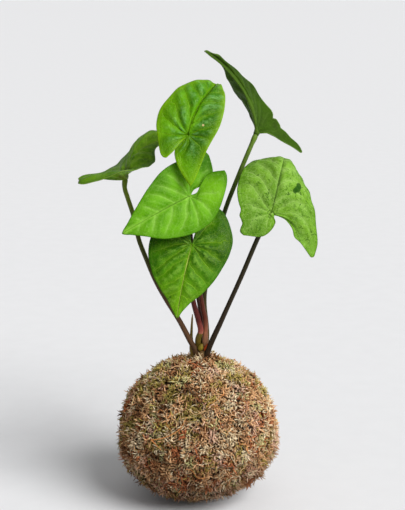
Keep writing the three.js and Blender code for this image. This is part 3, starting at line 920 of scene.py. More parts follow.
# %% Looks of the leaves
LEAF_LOOKS = {
    "upper": dict(
        deep=rgb(28, 88, 0), mid=rgb(72, 138, 0), light=rgb(92, 156, 0), glow_colour=rgb(104, 162, 0),
        vein=rgb(136, 184, 24), margin=rgb(122, 166, 0), rib_colour=rgb(70, 112, 0),
        # Painted sheen on the swellings between the veins, and painted shade in the creases.
        sheen_colour=rgb(116, 180, 104), roughness=0.3, specular=0.28, glow=0.32, rib_glow=0.55, veins=0.4,
        net=0.25, rib=0.6, rib_width=0.5, margins=0.7, margin_width=1.8, crease_shade=0.8, pillow_sheen=0.4,
        bump=1.2, mottle=5,
        gradients=[("out", 1, 9, 0.9, rgb(26, 84, 0)), ("out", -7, -15, 0.45, rgb(104, 164, 0)),
                   ("along", -9, -22, 0.8, rgb(92, 154, 0)), ("along", 22, 40, 0.5, rgb(52, 116, 0)),
                   ("edge", 7, 1, 0.5, rgb(112, 160, 0))],
        washes=[((-24.6, -29.9, 309), 13, 0.8, rgb(58, 110, 0))],
        spots=[((4.1, -23.8, 324.5), 1.3, rgb(206, 178, 126))]),
    "highest": dict(
        deep=rgb(30, 54, 0), mid=rgb(44, 74, 4), light=rgb(58, 90, 16), glow_colour=rgb(72, 104, 28),
        vein=rgb(88, 118, 40), margin=rgb(106, 136, 58), roughness=0.6, glow=0.35, rib_glow=0.4,
        veins=0.4, rib=0.6, margins=0.7, net=0.2, bump=0.7, specular=0.12),
    "left": dict(
        deep=rgb(46, 98, 2), mid=rgb(98, 150, 10), light=rgb(140, 186, 46), glow_colour=rgb(126, 172, 38),
        vein=rgb(146, 182, 64), margin=rgb(138, 168, 64), rib_colour=rgb(158, 190, 84),
        roughness=0.42, glow=0.5, veins=0.4, net=0.3, margins=0.65, bump=0.9, crease_shade=0.4, grain=0.5,
        mottle=6, rib=0.8, rib_glow=0.65,
        # The brown close to the stalk is painted shade under the blade.
        gradients=[("along", -6, -24, 0.7, rgb(84, 128, 12)), ("reach", 12, 6, 0.8, rgb(70, 72, 6)),
                   ("edge", 4, 0.5, 0.6, rgb(44, 90, 0))]),
    "middle": dict(
        deep=rgb(70, 132, 0), mid=rgb(88, 152, 2), light=rgb(100, 162, 10), glow_colour=rgb(128, 182, 56),
        vein=rgb(158, 202, 98), margin=rgb(50, 100, 0), rib_colour=rgb(80, 128, 24),
        roughness=0.45, vein_width=1.7, glow=0.4, rib_glow=0.8, glow_reach=0.22, veins=0.26, net=0.2,
        rib=0.6, rib_width=0.4, margins=0.5, mottle=2,
        # Painted shadow of the upper leaf: the darker lobes and the two deeper green clouds. Painted light
        # and shade: the lighter cloud near the stalk and the darker edge.
        gradients=[("edge", 9, 1, 0.5, rgb(62, 118, 0)), ("along", -14, -30, 0.85, rgb(60, 118, 0))],
        washes=[((12, -28.5, 272.3), 17, 0.9, rgb(108, 170, 20)),
                ((5.6, -17.6, 294.2), 12, 0.8, rgb(40, 96, 0)),
                ((-34, -35.2, 282), 17, 0.75, rgb(56, 112, 0))]),
    "lowest": dict(
        deep=rgb(26, 78, 0), mid=rgb(50, 108, 0), light=rgb(72, 130, 0), glow_colour=rgb(100, 154, 10),
        vein=rgb(146, 184, 52), margin=rgb(40, 88, 0), rib_colour=rgb(160, 178, 76),
        # Painted sheen on the swellings between the veins, and painted shade in the creases.
        sheen_colour=rgb(128, 178, 60), roughness=0.34, specular=0.2, glow=0.45, rib_glow=0.6, veins=0.5,
        net=0.22, rib=0.75, rib_width=0.6, margins=0.45, bump=1.0, mottle=1.5, crease_shade=0.7, pillow_sheen=0.35,
        gradients=[("along", 34, -8, 0.85, rgb(20, 74, 0)), ("along", 22, 52, 0.6, rgb(104, 156, 8))],
        washes=[((15, -36.6, 225), 16, 0.8, rgb(6, 62, 0))]),
    "right": dict(
        deep=rgb(66, 118, 0), mid=rgb(98, 148, 22), light=rgb(124, 168, 56), glow_colour=rgb(140, 182, 80),
        vein=rgb(164, 200, 106), margin=rgb(70, 104, 10), rib_colour=rgb(64, 84, 20),
        flecks=[rgb(78, 116, 18), rgb(40, 84, 4)], roughness=0.5, glow=0.55, rib_glow=0.3, veins=0.5,
        net=0.45, grain=0.6, rib=0.5, rib_width=0.35,
        gradients=[("along", -8, -26, 0.6, rgb(92, 142, 14)), ("edge", 8, 1, 0.5, rgb(88, 140, 6))],
        washes=[((44.7, -22.6, 241), 20, 0.8, rgb(64, 112, 0))],
        spots=[((82.7, -8.6, 273), 3.2, rgb(26, 74, 4)), ((81.5, -10.6, 271), 3.4, rgb(26, 74, 4)),
               ((79.4, -11.9, 270), 2.6, rgb(26, 74, 4))]),
}
print(len(LEAF_LOOKS), "leaves with looks of their own")

# %% [markdown]
# ## Skins of the blades
#
# Each blade gets one material, which covers both its sides: the look of the upper side, or
# on the turned leaf that of the underside. Two materials could be given to each blade, one
# a side, but one is simpler and serves the side that is seen from the front.

# %% Skins of the blades
for name, piece in blades.items():
    raised = -1 if LEAVES[name]["turned_over"] else 1
    piece.data.materials.append(leaf_material("skin of leaf " + name, LEAF_LOOKS[name], raised))
    print(piece.name, "has", piece.data.materials[0].name)

# %% [markdown]
# ## The stalks' places
#
# Each stalk is a smooth, round, slowly bending rod that rises from the crown to the notch
# of its leaf. It is given by a few places in mm along its middle, by the height at which it
# leaves its sheath, and by how much of its end lies hidden in the blade.

# %% Places of the stalks
STALKS = {
    "upper": dict(sheath_top=147, path=[
        (3, 5, 114), (2, 7, 126), (4, 8, 137), (3, 8, 150), (2, 5, 164), (0, 2, 177),
        (-6, -3, 208), (-8, -6, 238), (-8, -5, 278), (-8, -7, 299), (-8, -24, 317)]),
    "highest": dict(sheath_top=147, cover=-2, path=[
        (6, 6, 114), (6, 9, 126), (7, 13, 143), (5, 14, 168), (6, 14, 181), (12, 15, 204),
        (22, 17, 246), (33, 20, 275), (44, 25, 301), (49, 28, 312)]),
    "left": dict(sheath_top=134, cover=-2, path=[
        (1, 2, 114), (-2, 0, 129), (-7, -1, 139), (-16, -2, 157), (-27, -2, 175),
        (-36, -2, 192), (-43, -1, 209), (-49.5, 1, 226), (-54.5, 3, 248), (-58.6, 4, 261),
        (-61, 3.5, 270), (-60.3, 4, 279)]),
    "middle": dict(sheath_top=147, path=[
        (5, 3, 114), (6, 3, 132), (6, 2, 143), (6, 0, 156), (4, -3, 167), (2, -7, 180),
        (-3, -15, 208), (-6, -19, 232), (-7, -20, 252), (-7, -28, 268)]),
    "lowest": dict(sheath_top=147, path=[
        (2, 3, 114), (0, 2, 133), (0, -1, 141), (2, -3, 148), (0, -6, 159), (-4, -12, 176),
        (-6, -21, 197), (-6, -28, 217), (-5, -34, 229)]),
    "right": dict(sheath_top=134, path=[
        (6, 1, 114), (8, -2, 129), (20, -6, 159), (36, -9, 197), (50, -12, 232),
        (56, -13, 244), (60, -16, 252)]),
}
print(len(STALKS), "stalks")

# %% [markdown]
# ## A line that doesn't overshoot
#
# The smooth line used for the leaves swings out where its points lie at uneven distances.
# On a stalk that would be seen as a kink, so its line is weighted by those distances.

# %% A line that doesn't overshoot
def even_line(points, steps):
    """A smooth line through points that doesn't overshoot where they lie unevenly."""
    points = np.array(points, float)
    padded = np.vstack([2 * points[0] - points[1], points, 2 * points[-1] - points[-2]])
    places = []
    for first in range(len(points) - 1):
        a, b, c, d = padded[first:first + 4]
        before, span, after = (np.linalg.norm(step) ** 0.5 for step in (b - a, c - b, d - c))
        start = span * ((b - a) / before - (c - a) / (before + span) + (c - b) / span)
        end = span * ((c - b) / span - (d - b) / (span + after) + (d - c) / after)
        for share in np.arange(steps) / steps:
            places.append(b + start * share + (3 * (c - b) - 2 * start - end) * share**2
                          + (2 * (b - c) + start + end) * share**3)
    return np.array([*places, points[-1]])


print("the first stalk has", len(even_line(STALKS["upper"]["path"], 12)), "places")

# %% [markdown]
# ## Round rods
#
# A rod could be extruded from a circle, ring by ring. A curve with a round bevel is
# quicker: each of its points carries a thickness, and the curve then becomes a closed
# mesh. A stalk is thicker at its foot and swells a little where it joins its blade.

# %% Round rods
STALK_RADIUS = 1.95
FOOT_EXTRA = 0.45
FOOT_LENGTH = 45
STUB_LENGTH = 9
NECK_EXTRA = 1.0
END_ROUND = 0.97
END_COVER = 1.3
END_REACH = 12


def tube(name, places, radii, roundness=3):
    """A closed round rod through places, with a radius at each, both in mm."""
    deselect_all()
    bpy.ops.curve.primitive_nurbs_path_add()
    piece = bpy.context.object
    piece.name = name
    curve = piece.data
    curve.splines.clear()
    spline = curve.splines.new("POLY")
    spline.points.add(len(places) - 1)
    for point, place, radius in zip(spline.points, places, radii):
        point.co = (*(np.array(place) * MM), 1)
        point.radius = radius
    curve.bevel_depth = MM
    curve.bevel_resolution = roundness
    curve.use_fill_caps = True
    bpy.ops.object.convert(target="MESH")
    bpy.ops.object.shade_smooth()
    return bpy.context.object


def stalk_radii(stalk, places):
    lengths = np.linalg.norm(np.diff(places, axis=0), axis=1)
    left_over = np.concatenate([np.cumsum(lengths[::-1])[::-1], [0]])
    foot = 1 - smooth((places[:, 2] - stalk["sheath_top"]) / FOOT_LENGTH)
    neck = np.clip(1 - left_over / STUB_LENGTH, 0, 1)
    return (STALK_RADIUS + FOOT_EXTRA * foot + NECK_EXTRA * neck) * np.sqrt(1 - END_ROUND * neck**4)


def end_below(places, leaf, cover):
    """Cuts a stalk off where it would come out through the upper side of its blade."""
    height = (places - np.array(leaf["attach"], float)) @ upper_side(leaf)
    near = np.linalg.norm(places - leaf["attach"], axis=1) < END_REACH
    return places[~(near & (height > -cover))]


print("stalks are", 2 * STALK_RADIUS, "mm thick")

# %% [markdown]
# ## The skin of a stalk
#
# A stalk is red-brown or olive at its foot and green below the blade, with fine streaks
# that run along it. The change with height is a colour ramp on the height of a place, and
# the streaks are noise that is stretched upwards. The sheaths and roots share both.

# %% The skin of a stalk
STALK_COLOURS = {
    "upper": [(120, (60, 26, 14)), (160, (66, 26, 14)), (230, (70, 52, 18)), (310, (84, 116, 26))],
    "highest": [(120, (84, 70, 22)), (160, (74, 66, 20)), (200, (56, 52, 22)), (260, (66, 84, 26)),
                (310, (112, 148, 46))],
    "left": [(120, (76, 50, 28)), (150, (96, 66, 40)), (185, (84, 60, 32)), (215, (74, 80, 20)),
             (275, (108, 130, 20))],
    "middle": [(120, (190, 134, 104)), (146, (184, 116, 88)), (160, (104, 46, 30)),
               (200, (76, 30, 16)), (260, (80, 64, 24))],
    "lowest": [(120, (170, 110, 80)), (143, (206, 136, 114)), (149, (164, 82, 72)),
               (158, (96, 30, 30)), (225, (60, 24, 14))],
    "right": [(120, (40, 26, 12)), (160, (46, 34, 16)), (220, (42, 40, 16)), (250, (50, 56, 20))],
}
STREAK_SETTINGS = {"Along": 30.0, "Across": 900.0}
SPECK_SIZE = 700


def build_streak_group():
    group, given, results = new_group("stalk streaks", STREAK_SETTINGS, ["Streaks", "Specks"])
    stretch = group.nodes.new("ShaderNodeCombineXYZ")
    for axis, name in (("X", "Across"), ("Y", "Across"), ("Z", "Along")):
        link(group, given[name], stretch.inputs[axis])
    scaled = group.nodes.new("ShaderNodeVectorMath")
    scaled.operation = "MULTIPLY"
    group.links.new(object_places(group), scaled.inputs[0])
    group.links.new(stretch.outputs[0], scaled.inputs[1])
    streaks = add_noise(group, scaled.outputs[0], 1.0, 3)
    specks = add_noise(group, object_places(group), SPECK_SIZE, 2)
    link(group, add_range(group, streaks, 0.35, 0.65), results["Streaks"])
    link(group, add_range(group, specks, 0.55, 0.7), results["Specks"])
    return group


STREAKS = build_streak_group()


def height_ramp(tree, colours):
    """A colour that changes with height, from places in mm."""
    low, high = colours[0][0], colours[-1][0]
    split = tree.nodes.new("ShaderNodeSeparateXYZ")
    tree.links.new(object_places(tree), split.inputs[0])
    node = tree.nodes.new("ShaderNodeMapRange")
    link(tree, split.outputs["Z"], node.inputs["Value"])
    node.inputs["From Min"].default_value = low * MM
    node.inputs["From Max"].default_value = high * MM
    stops = [((height - low) / (high - low), rgb(*colour)) for height, colour in colours]
    return add_ramp(tree, node.outputs["Result"], stops)


def stalk_material(name, colours, roughness=0.45):
    material, tree, shader = new_material(name, roughness)
    streaks = place_group(tree, STREAKS)
    colour = height_ramp(tree, colours)
    lighter = add_mix(tree, 1.0, colour, rgb(200, 190, 170), "OVERLAY")
    darker = add_mix(tree, 0.45, colour, rgb(24, 18, 8))
    colour = add_mix(tree, times(tree, streaks["Streaks"], 0.45), darker, lighter)
    colour = add_mix(tree, times(tree, streaks["Specks"], 0.35), colour, darker)
    link(tree, colour, shader.inputs["Base Color"])
    add_bump(tree, streaks["Streaks"], shader, 0.35, 0.0003)
    shader.inputs["Specular IOR Level"].default_value = 0.2
    return material


print("streak group", len(STREAKS.nodes), "nodes")

# %% [markdown]
# ## Making the stalks
#
# Each stalk runs from inside the crown to its blade. Where it would come out through the
# blade's upper side it is cut off, so that only the swollen end shows from below.

# %% Making the stalks
for name, stalk in STALKS.items():
    places = end_below(even_line(stalk["path"], 12), LEAVES[name], stalk.get("cover", END_COVER))
    piece = tube("stem_" + name, places, stalk_radii(stalk, places))
    piece.data.materials.append(stalk_material("skin of stalk " + name, STALK_COLOURS[name]))
    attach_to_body(piece, "root")
    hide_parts("stalk_" + name)
    print(piece.name, len(piece.data.polygons), "faces")

# %% [markdown]
# ## The crown's places
#
# Where the stalks meet, each foot is wrapped in a sheath of its own, and all sheaths sit
# on a short pale stem that goes down into the soil and carries the roots. A small bud, a
# dried sheath and an orange scale leaf stand beside them. All are rods with a thickness at
# each place, given here as places and radii in mm.

# %% Places of the crown
CROWN_CENTRE = (4, 4)
CROWN_PROFILE = [(100, 0.4), (101, 4), (106, 7), (114, 8.4), (121, 8), (127, 6.6), (131, 4.5), (133, 0.4)]
BUD = [((1.4, -1, 130.4), 1.4), ((1.7, -1.5, 132.2), 2.5), ((2.3, -1.9, 134.2), 2.2),
       ((3.2, -2.1, 135.8), 1.1), ((3.8, -2.1, 136.5), 0.3)]
DRIED_SHEATH = [((-3, 3.5, 119), 3), ((-5.6, 4.5, 130), 2.1), ((-6, 4.5, 141), 1.3),
                ((-5.6, 4.1, 150), 1.0), ((-5.2, 3.8, 157), 0.8), ((-4.9, 3.6, 161), 0.3)]
SCALE_LEAF = [((5.2, -2, 131), 0.9), ((5.8, -2.6, 133), 1.2), ((7, -3, 135.4), 0.9), ((8, -3, 137), 0.3)]
print("the crown's stem is", 2 * max(radius for height, radius in CROWN_PROFILE), "mm thick")

# %% [markdown]
# ## The crown's colours
#
# The stem is brown in the soil and paler above it, and each sheath goes from an earthy foot
# to the colour of its stalk. A picture wrapped round each rod would need a layout of its
# own. A few colours by height, in mm, look the same and need none.

# %% Colours of the crown
STEM_COLOURS = [(104, (120, 92, 58)), (124, (150, 118, 78)), (133, (132, 104, 60))]
SHEATH_COLOURS = {
    "upper": [(114, (120, 96, 58)), (128, (92, 80, 26)), (147, (78, 72, 18))],
    "highest": [(114, (120, 96, 58)), (128, (84, 76, 24)), (147, (70, 66, 16))],
    "left": [(114, (84, 62, 38)), (134, (88, 62, 38))],
    "middle": [(114, (180, 140, 100)), (130, (208, 156, 120)), (147, (184, 118, 90))],
    "lowest": [(114, (180, 156, 106)), (127, (150, 130, 58)), (136, (104, 90, 26)), (147, (116, 100, 34))],
    "right": [(114, (60, 42, 24)), (134, (50, 36, 18))],
}
BUD_COLOURS = [(130, (120, 96, 30)), (133, (150, 138, 40)), (136, (126, 108, 30))]
DRIED_COLOURS = [(118, (140, 118, 66)), (134, (150, 130, 52)), (160, (140, 118, 44))]
SCALE_COLOURS = [(126, (150, 80, 30)), (133, (164, 66, 20)), (138, (104, 40, 16))]
print(len(SHEATH_COLOURS), "sheaths with colours of their own")

# %% [markdown]
# ## Making the crown
#
# A sheath follows the foot of its stalk and is a little wider, so that the stalk comes out
# of it as on the plant. The seven roots leave the stem sideways and then turn down. They
# could stay pieces of their own, but on the plant they grow as one, so they are joined.

# %% Making the crown
SHEATH_WALL = 0.06
SHEATH_SWELL = 0.5
ROOT_COUNT = 7
ROOT_TOP = 106
ROOT_STEPS = [(18, -9), (30, -30), (34, -58)]
ROOT_ENDS = (1.5, 0.6)


def join_pieces(pieces, name):
    deselect_all()
    for piece in pieces:
        piece.select_set(True)
    bpy.context.view_layer.objects.active = pieces[0]
    bpy.ops.object.join()
    pieces[0].name = name
    return pieces[0]


def make_sheath(stalk, name):
    places = even_line(stalk["path"], 10)
    places = places[places[:, 2] <= stalk["sheath_top"]]
    share = (places[:, 2] - places[0, 2]) / (places[-1, 2] - places[0, 2])
    foot = STALK_RADIUS + FOOT_EXTRA
    return tube(name + " sheath", places, foot + SHEATH_WALL + SHEATH_SWELL * (1 - share))


def make_root(number):
    heading = 2 * np.pi * (number + 0.3 * math.sin(5 * number)) / ROOT_COUNT
    away = np.array([math.cos(heading), math.sin(heading), 0])
    start = np.array([*CROWN_CENTRE, ROOT_TOP])
    path = [start] + [start + out * away + (0, 0, down) for out, down in ROOT_STEPS]
    places = even_line(path, 5)
    return tube("root", places, np.linspace(*ROOT_ENDS, len(places)), 1)


def coloured(piece, colours, roughness=0.55):
    piece.data.materials.append(stalk_material("skin of the " + piece.name, colours, roughness))
    return piece


def rod(name, profile, colours):
    places, radii = [place for place, radius in profile], [radius for place, radius in profile]
    return coloured(tube(name, places, radii), colours)


stem = tube("crown stem", [(*CROWN_CENTRE, height) for height, radius in CROWN_PROFILE],
            [radius for height, radius in CROWN_PROFILE], 6)
parts = [coloured(stem, STEM_COLOURS)]
for name, stalk in STALKS.items():
    parts += [coloured(make_sheath(stalk, name), SHEATH_COLOURS[name])]
parts += [rod("bud", BUD, BUD_COLOURS), rod("dried sheath", DRIED_SHEATH, DRIED_COLOURS)]
parts += [rod("scale leaf", SCALE_LEAF, SCALE_COLOURS)]
parts += [coloured(make_root(number), STEM_COLOURS, 0.7) for number in range(ROOT_COUNT)]
crown = join_pieces(parts, "crown")
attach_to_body(crown, "root")
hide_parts("crown_and_roots")
print("crown", len(crown.data.polygons), "faces")

# %% [markdown]
# ## The shape of the ball
#
# A ball made by hand is a little flatter below than above. Mat, thread, sprigs and strands
# all lie on it, so one small function gives a place on it for a heading and an angle.
# Sculpting a ball would do for the mat alone, but not for what has to follow it.

# %% The shape of the ball
BALL_RADIUS = 68
BALL_MIDDLE = 56
UPPER_HEIGHT = 67
LOWER_HEIGHT = 52.3
LOWER_FULLNESS = 0.92


def ball_place(around, angle, lift):
    """A place on the ball: a heading, an angle above its middle, and a lift, in mm."""
    below = angle < 0
    power = np.where(below, LOWER_FULLNESS, 1)
    height = np.where(below, LOWER_HEIGHT, UPPER_HEIGHT) + lift
    outward = (BALL_RADIUS + lift) * np.abs(np.cos(angle)) ** power
    rise = np.sign(angle) * height * np.abs(np.sin(angle)) ** power
    return np.stack([outward * np.cos(around), outward * np.sin(around), BALL_MIDDLE + rise], axis=-1)


print("the ball is", 2 * BALL_RADIUS, "mm wide")

# %% [markdown]
# ## Soil
#
# The soil ball is hidden by the moss and keeps its measured shape. It only needs a crumbly
# look for anyone who opens the ball up: dark and light crumbs from one noise, which also
# makes the relief.

# %% Soil
CRUMB_SIZE = 320
material, tree, shader = new_material("crumbly soil", 0.95)
crumbs = add_noise(tree, object_places(tree), CRUMB_SIZE, 5, 0.7)
link(tree, add_mix(tree, add_range(tree, crumbs, 0.35, 0.7), rgb(34, 24, 16), rgb(78, 58, 40)),
     shader.inputs["Base Color"])
add_bump(tree, crumbs, shader, 0.9, 0.002)
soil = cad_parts["soil_ball"]
soil.data.materials.clear()
soil.data.materials.append(material)
print(soil.name, "has", material.name)

# %% [markdown]
# ## Thread
#
# A fine thread holds the moss on: it is wound round the ball three times and sinks in among
# the sprigs. It is a rod along a spiral, the same way of building as the stalks.

# %% Thread
THREAD_TURNS = 3
STEPS_A_TURN = 72
THREAD_TOP = 50
THREAD_LOW = -42
THREAD_LIFT = 0.2
THREAD_RADIUS = 0.2
turns = np.linspace(0, THREAD_TURNS, STEPS_A_TURN * THREAD_TURNS + 1)
angles = np.radians(THREAD_TOP + (THREAD_LOW - THREAD_TOP) * turns / THREAD_TURNS)
thread = tube("thread", ball_place(2 * np.pi * turns, angles, np.full_like(turns, THREAD_LIFT)),
              np.full_like(turns, THREAD_RADIUS), 1)
material, tree, shader = new_material("fine thread", 0.3)
twist = add_noise(tree, object_places(tree), 900, 2)
link(tree, add_mix(tree, twist, rgb(92, 80, 54), rgb(128, 114, 82)), shader.inputs["Base Color"])
thread.data.materials.append(material)
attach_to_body(thread, "root")
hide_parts("binding_thread")
print("thread", len(thread.data.polygons), "faces")

# %% [markdown]
# ## The moss mat
#
# Under the loose sprigs lies a dense brown mat. A sphere of longitudes would crowd its
# corners at the poles, so it starts as an even ball of triangles. It is pressed into the
# ball's profile, gets a rough relief and an opening at the top for the stalks, and a
# Solidify modifier turns it into a thick skin.

# %% The moss mat
OPENING_CENTRE = (3, 3)
OPENING_RADIUS = 11.5
MAT_THICKNESS = 4
MAT_DEPTH = 3.4
FOOT_LEAN = 1.2
LEAN_HEIGHT = 45
LUMPS = [(2.4, 17, 2), (2.1, 7, 3)]
ROUGHNESS = (0.8, 3, 5)


def ball_angles(directions):
    around = np.arctan2(directions[:, 1], directions[:, 0])
    angle = np.arcsin(np.clip(directions[:, 2], -1, 1))
    return around, angle


def moss_lumps(places):
    """Lumps that the mat and the sprigs share, leaning a little to the left below, in mm."""
    lumps = sum(height * noise_at(places, size, seed) for height, size, seed in LUMPS)
    lean = FOOT_LEAN * places[:, 0] / BALL_RADIUS * smooth(1 - places[:, 2] / LEAN_HEIGHT)
    return lumps - lean


def make_mat():
    deselect_all()
    bpy.ops.mesh.primitive_ico_sphere_add(subdivisions=6, radius=1)
    piece = bpy.context.object
    piece.name = "moss_mat"
    directions = read_corners(piece.data)
    directions /= np.linalg.norm(directions, axis=1)[:, None]
    around, angle = ball_angles(directions)
    flat = ball_place(around, angle, np.zeros(len(angle)))
    height, size, seed = ROUGHNESS
    lift = moss_lumps(flat) + height * noise_at(flat, size, seed) - MAT_DEPTH
    places = ball_place(around, angle, lift)
    places[:, 2] = np.maximum(places[:, 2], 0)
    write_corners(piece.data, places * MM)
    return piece


def open_mat(piece):
    """Cuts the opening at the top, then gives the skin its thickness."""
    bpy.ops.object.mode_set(mode="EDIT")
    bpy.ops.mesh.select_mode(type="FACE")
    bpy.ops.mesh.select_all(action="DESELECT")
    bpy.ops.object.mode_set(mode="OBJECT")
    for face in piece.data.polygons:
        away = math.hypot(face.center[0] / MM - OPENING_CENTRE[0], face.center[1] / MM - OPENING_CENTRE[1])
        face.select = away < OPENING_RADIUS and face.center[2] > BALL_MIDDLE * MM
    bpy.ops.object.mode_set(mode="EDIT")
    bpy.ops.mesh.delete(type="FACE")
    bpy.ops.object.mode_set(mode="OBJECT")
    skin = piece.modifiers.new("skin", "SOLIDIFY")
    skin.thickness = MAT_THICKNESS * MM
    skin.offset = -1
    bpy.ops.object.modifier_apply(modifier="skin")
    bpy.ops.object.shade_smooth()


mat = make_mat()
open_mat(mat)
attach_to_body(mat, "root")
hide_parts("moss_cover")
print("mat", len(mat.data.polygons), "faces")

# %% [markdown]
# ## Finish of the mat
#
# Deep in the moss it is brown and quite matt, with a fine crumbly relief. Its colour is
# made nearly black, partly its own and partly painted shade for the gaps between the sprigs.
# Only a little of it shows between the sprigs, so two sizes of noise are enough.

# %% Finish of the mat
material, tree, shader = new_material("dense brown moss", 0.95)
places = object_places(tree)
coarse = add_range(tree, add_noise(tree, places, 90, 3), 0.35, 0.65)
fine = add_range(tree, add_noise(tree, places, 900, 3, 0.7), 0.3, 0.7)
# Nearly black brown: the mat's own colour and painted shade for the gaps between sprigs.
colour = add_mix(tree, coarse, rgb(28, 17, 8), rgb(54, 36, 18))
colour = add_mix(tree, times(tree, fine, 0.4), colour, rgb(92, 66, 38))
link(tree, colour, shader.inputs["Base Color"])
add_bump(tree, fine, shader, 0.9, 0.0015)
mat.data.materials.append(material)
print(mat.name, "has", material.name)

# %% [markdown]
# ## One curled finger of moss
#
# Dry moss is a coat of small star-shaped heads, each with a bunch of curled fingers a few
# millimetres long. Hair would be the quick way, but it can't be exported, so real geometry
# is used: one finger with sixteen faces is modelled once, from a triangle that is extruded
# and drawn in, and is then copied about forty thousand times. Each ring of it has a height
# and a width.

# %% One curled finger
FINGER_RINGS = [(0.0, 0.62), (0.38, 1.0), (0.75, 0.78)]


def model_finger():
    """A straight three-sided finger one unit long, along Z."""
    deselect_all()
    bpy.ops.mesh.primitive_circle_add(vertices=3, radius=1, fill_type="NGON")
    piece = bpy.context.object
    bpy.ops.object.mode_set(mode="EDIT")
    bpy.ops.mesh.select_all(action="SELECT")
    for (low, wide), (high, next_wide) in zip(FINGER_RINGS, FINGER_RINGS[1:]):
        bpy.ops.mesh.extrude_region_move(TRANSFORM_OT_translate={"value": (0, 0, high - low)})
        scale = next_wide / wide
        bpy.ops.transform.resize(value=(scale, scale, 1))
    last_step = 1 - FINGER_RINGS[-1][0]
    bpy.ops.mesh.extrude_region_move(TRANSFORM_OT_translate={"value": (0, 0, last_step)})
    bpy.ops.mesh.merge(type="CENTER")
    bpy.ops.object.mode_set(mode="OBJECT")
    return piece


finger = model_finger()
finger_corners = read_corners(finger.data)
finger_corners[:, :2] *= FINGER_RINGS[0][1]
finger.data.calc_loop_triangles()
finger_faces = np.array([triangle.vertices for triangle in finger.data.loop_triangles])
bpy.data.objects.remove(finger)
print("finger", len(finger_corners), "corners", len(finger_faces), "triangles")

# %% [markdown]
# ## Where the heads stand
#
# The heads cover the ball evenly but not in rows. Points that wind round the ball in a
# spiral, each turned by the golden angle, are as even as seeds in a sunflower, and a small
# seeded shift hides the pattern. None stands in the crown, and round it the moss is drawn
# up into a low collar.

# %% Where the heads stand
HEAD_COUNT = 8000
FINGERS_A_HEAD = 5
CROWN_GAP = 6.6
ROOT_DEPTH = 2.2
COLLAR_LIFT = 5
COLLAR_WIDTH = 5
DIRECTION_SHIFT = 0.02
BALL_FLATNESS = 0.93
NO_CROWN = 99
LOWEST_HEAD = 2.5
draw = np.random.default_rng(41)


def even_directions(count):
    """Directions spread evenly over a sphere, each a little out of place."""
    index = np.arange(count) + 0.5
    rise = 1 - 2 * index / count
    heading = np.pi * (1 + 5**0.5) * index
    level = np.sqrt(1 - rise**2)
    directions = np.stack([level * np.cos(heading), level * np.sin(heading), rise], axis=1)
    directions += draw.normal(0, DIRECTION_SHIFT, directions.shape)
    return directions / np.linalg.norm(directions, axis=1)[:, None]


def surface_frames(directions):
    """Place and outward direction on the ball for each head, and the gap to the crown."""
    around, angle = ball_angles(directions)
    places = ball_place(around, angle, np.zeros(len(angle)))
    gap = np.hypot(places[:, 0] - CROWN_CENTRE[0], places[:, 1] - CROWN_CENTRE[1])
    collar = COLLAR_LIFT * np.exp(-(((gap - CROWN_GAP) / COLLAR_WIDTH) ** 2))
    collar = np.where(angle > 0, collar, 0)
    places = ball_place(around, angle, moss_lumps(places) - ROOT_DEPTH + collar)
    stretched = directions / np.array([1, 1, BALL_FLATNESS])
    outward = stretched / np.linalg.norm(stretched, axis=1)[:, None]
    gap = np.hypot(places[:, 0] - CROWN_CENTRE[0], places[:, 1] - CROWN_CENTRE[1])
    gap[places[:, 2] < BALL_MIDDLE] = NO_CROWN
    return places, outward, gap


directions = even_directions(HEAD_COUNT)
head_places, head_outward, crown_gap = surface_frames(directions)
keep = (crown_gap > CROWN_GAP) & (head_places[:, 2] > LOWEST_HEAD)
head_places, head_outward = head_places[keep], head_outward[keep]
print(len(head_places), "heads")

# %% [markdown]
# ## Patches of colour
#
# Dry moss isn't one colour: straw, tan, pink, rust, olive, pale and brown lie side by side
# in patches of a few millimetres, greener above and redder below. More brown on the left is
# painted shade. A noise texture could mix the colours in one material, but then each finger
# would be striped. So each head takes the colour of the nearest of a thousand scattered
# seeds, and about a fifth stray.

# %% Patches of colour
PATCHES = {
    "straw": [(255, 240, 202), (186, 144, 98)],
    "tan": [(255, 206, 152), (150, 98, 58)],
    "pink": [(255, 218, 188), (176, 118, 88)],
    "rust": [(224, 142, 94), (132, 68, 36)],
    "olive": [(206, 184, 100), (100, 82, 30)],
    "pale": [(232, 224, 160), (136, 126, 68)],
    "brown": [(178, 126, 82), (66, 40, 20)],
}
PATCH_COUNT = 1000
STRAY_SHARE = 0.22
STRAY_WEIGHTS = [0.3, 0.3, 0.1, 0.06, 0.08, 0.06, 0.1]
EDGE_BLUR = 1.3


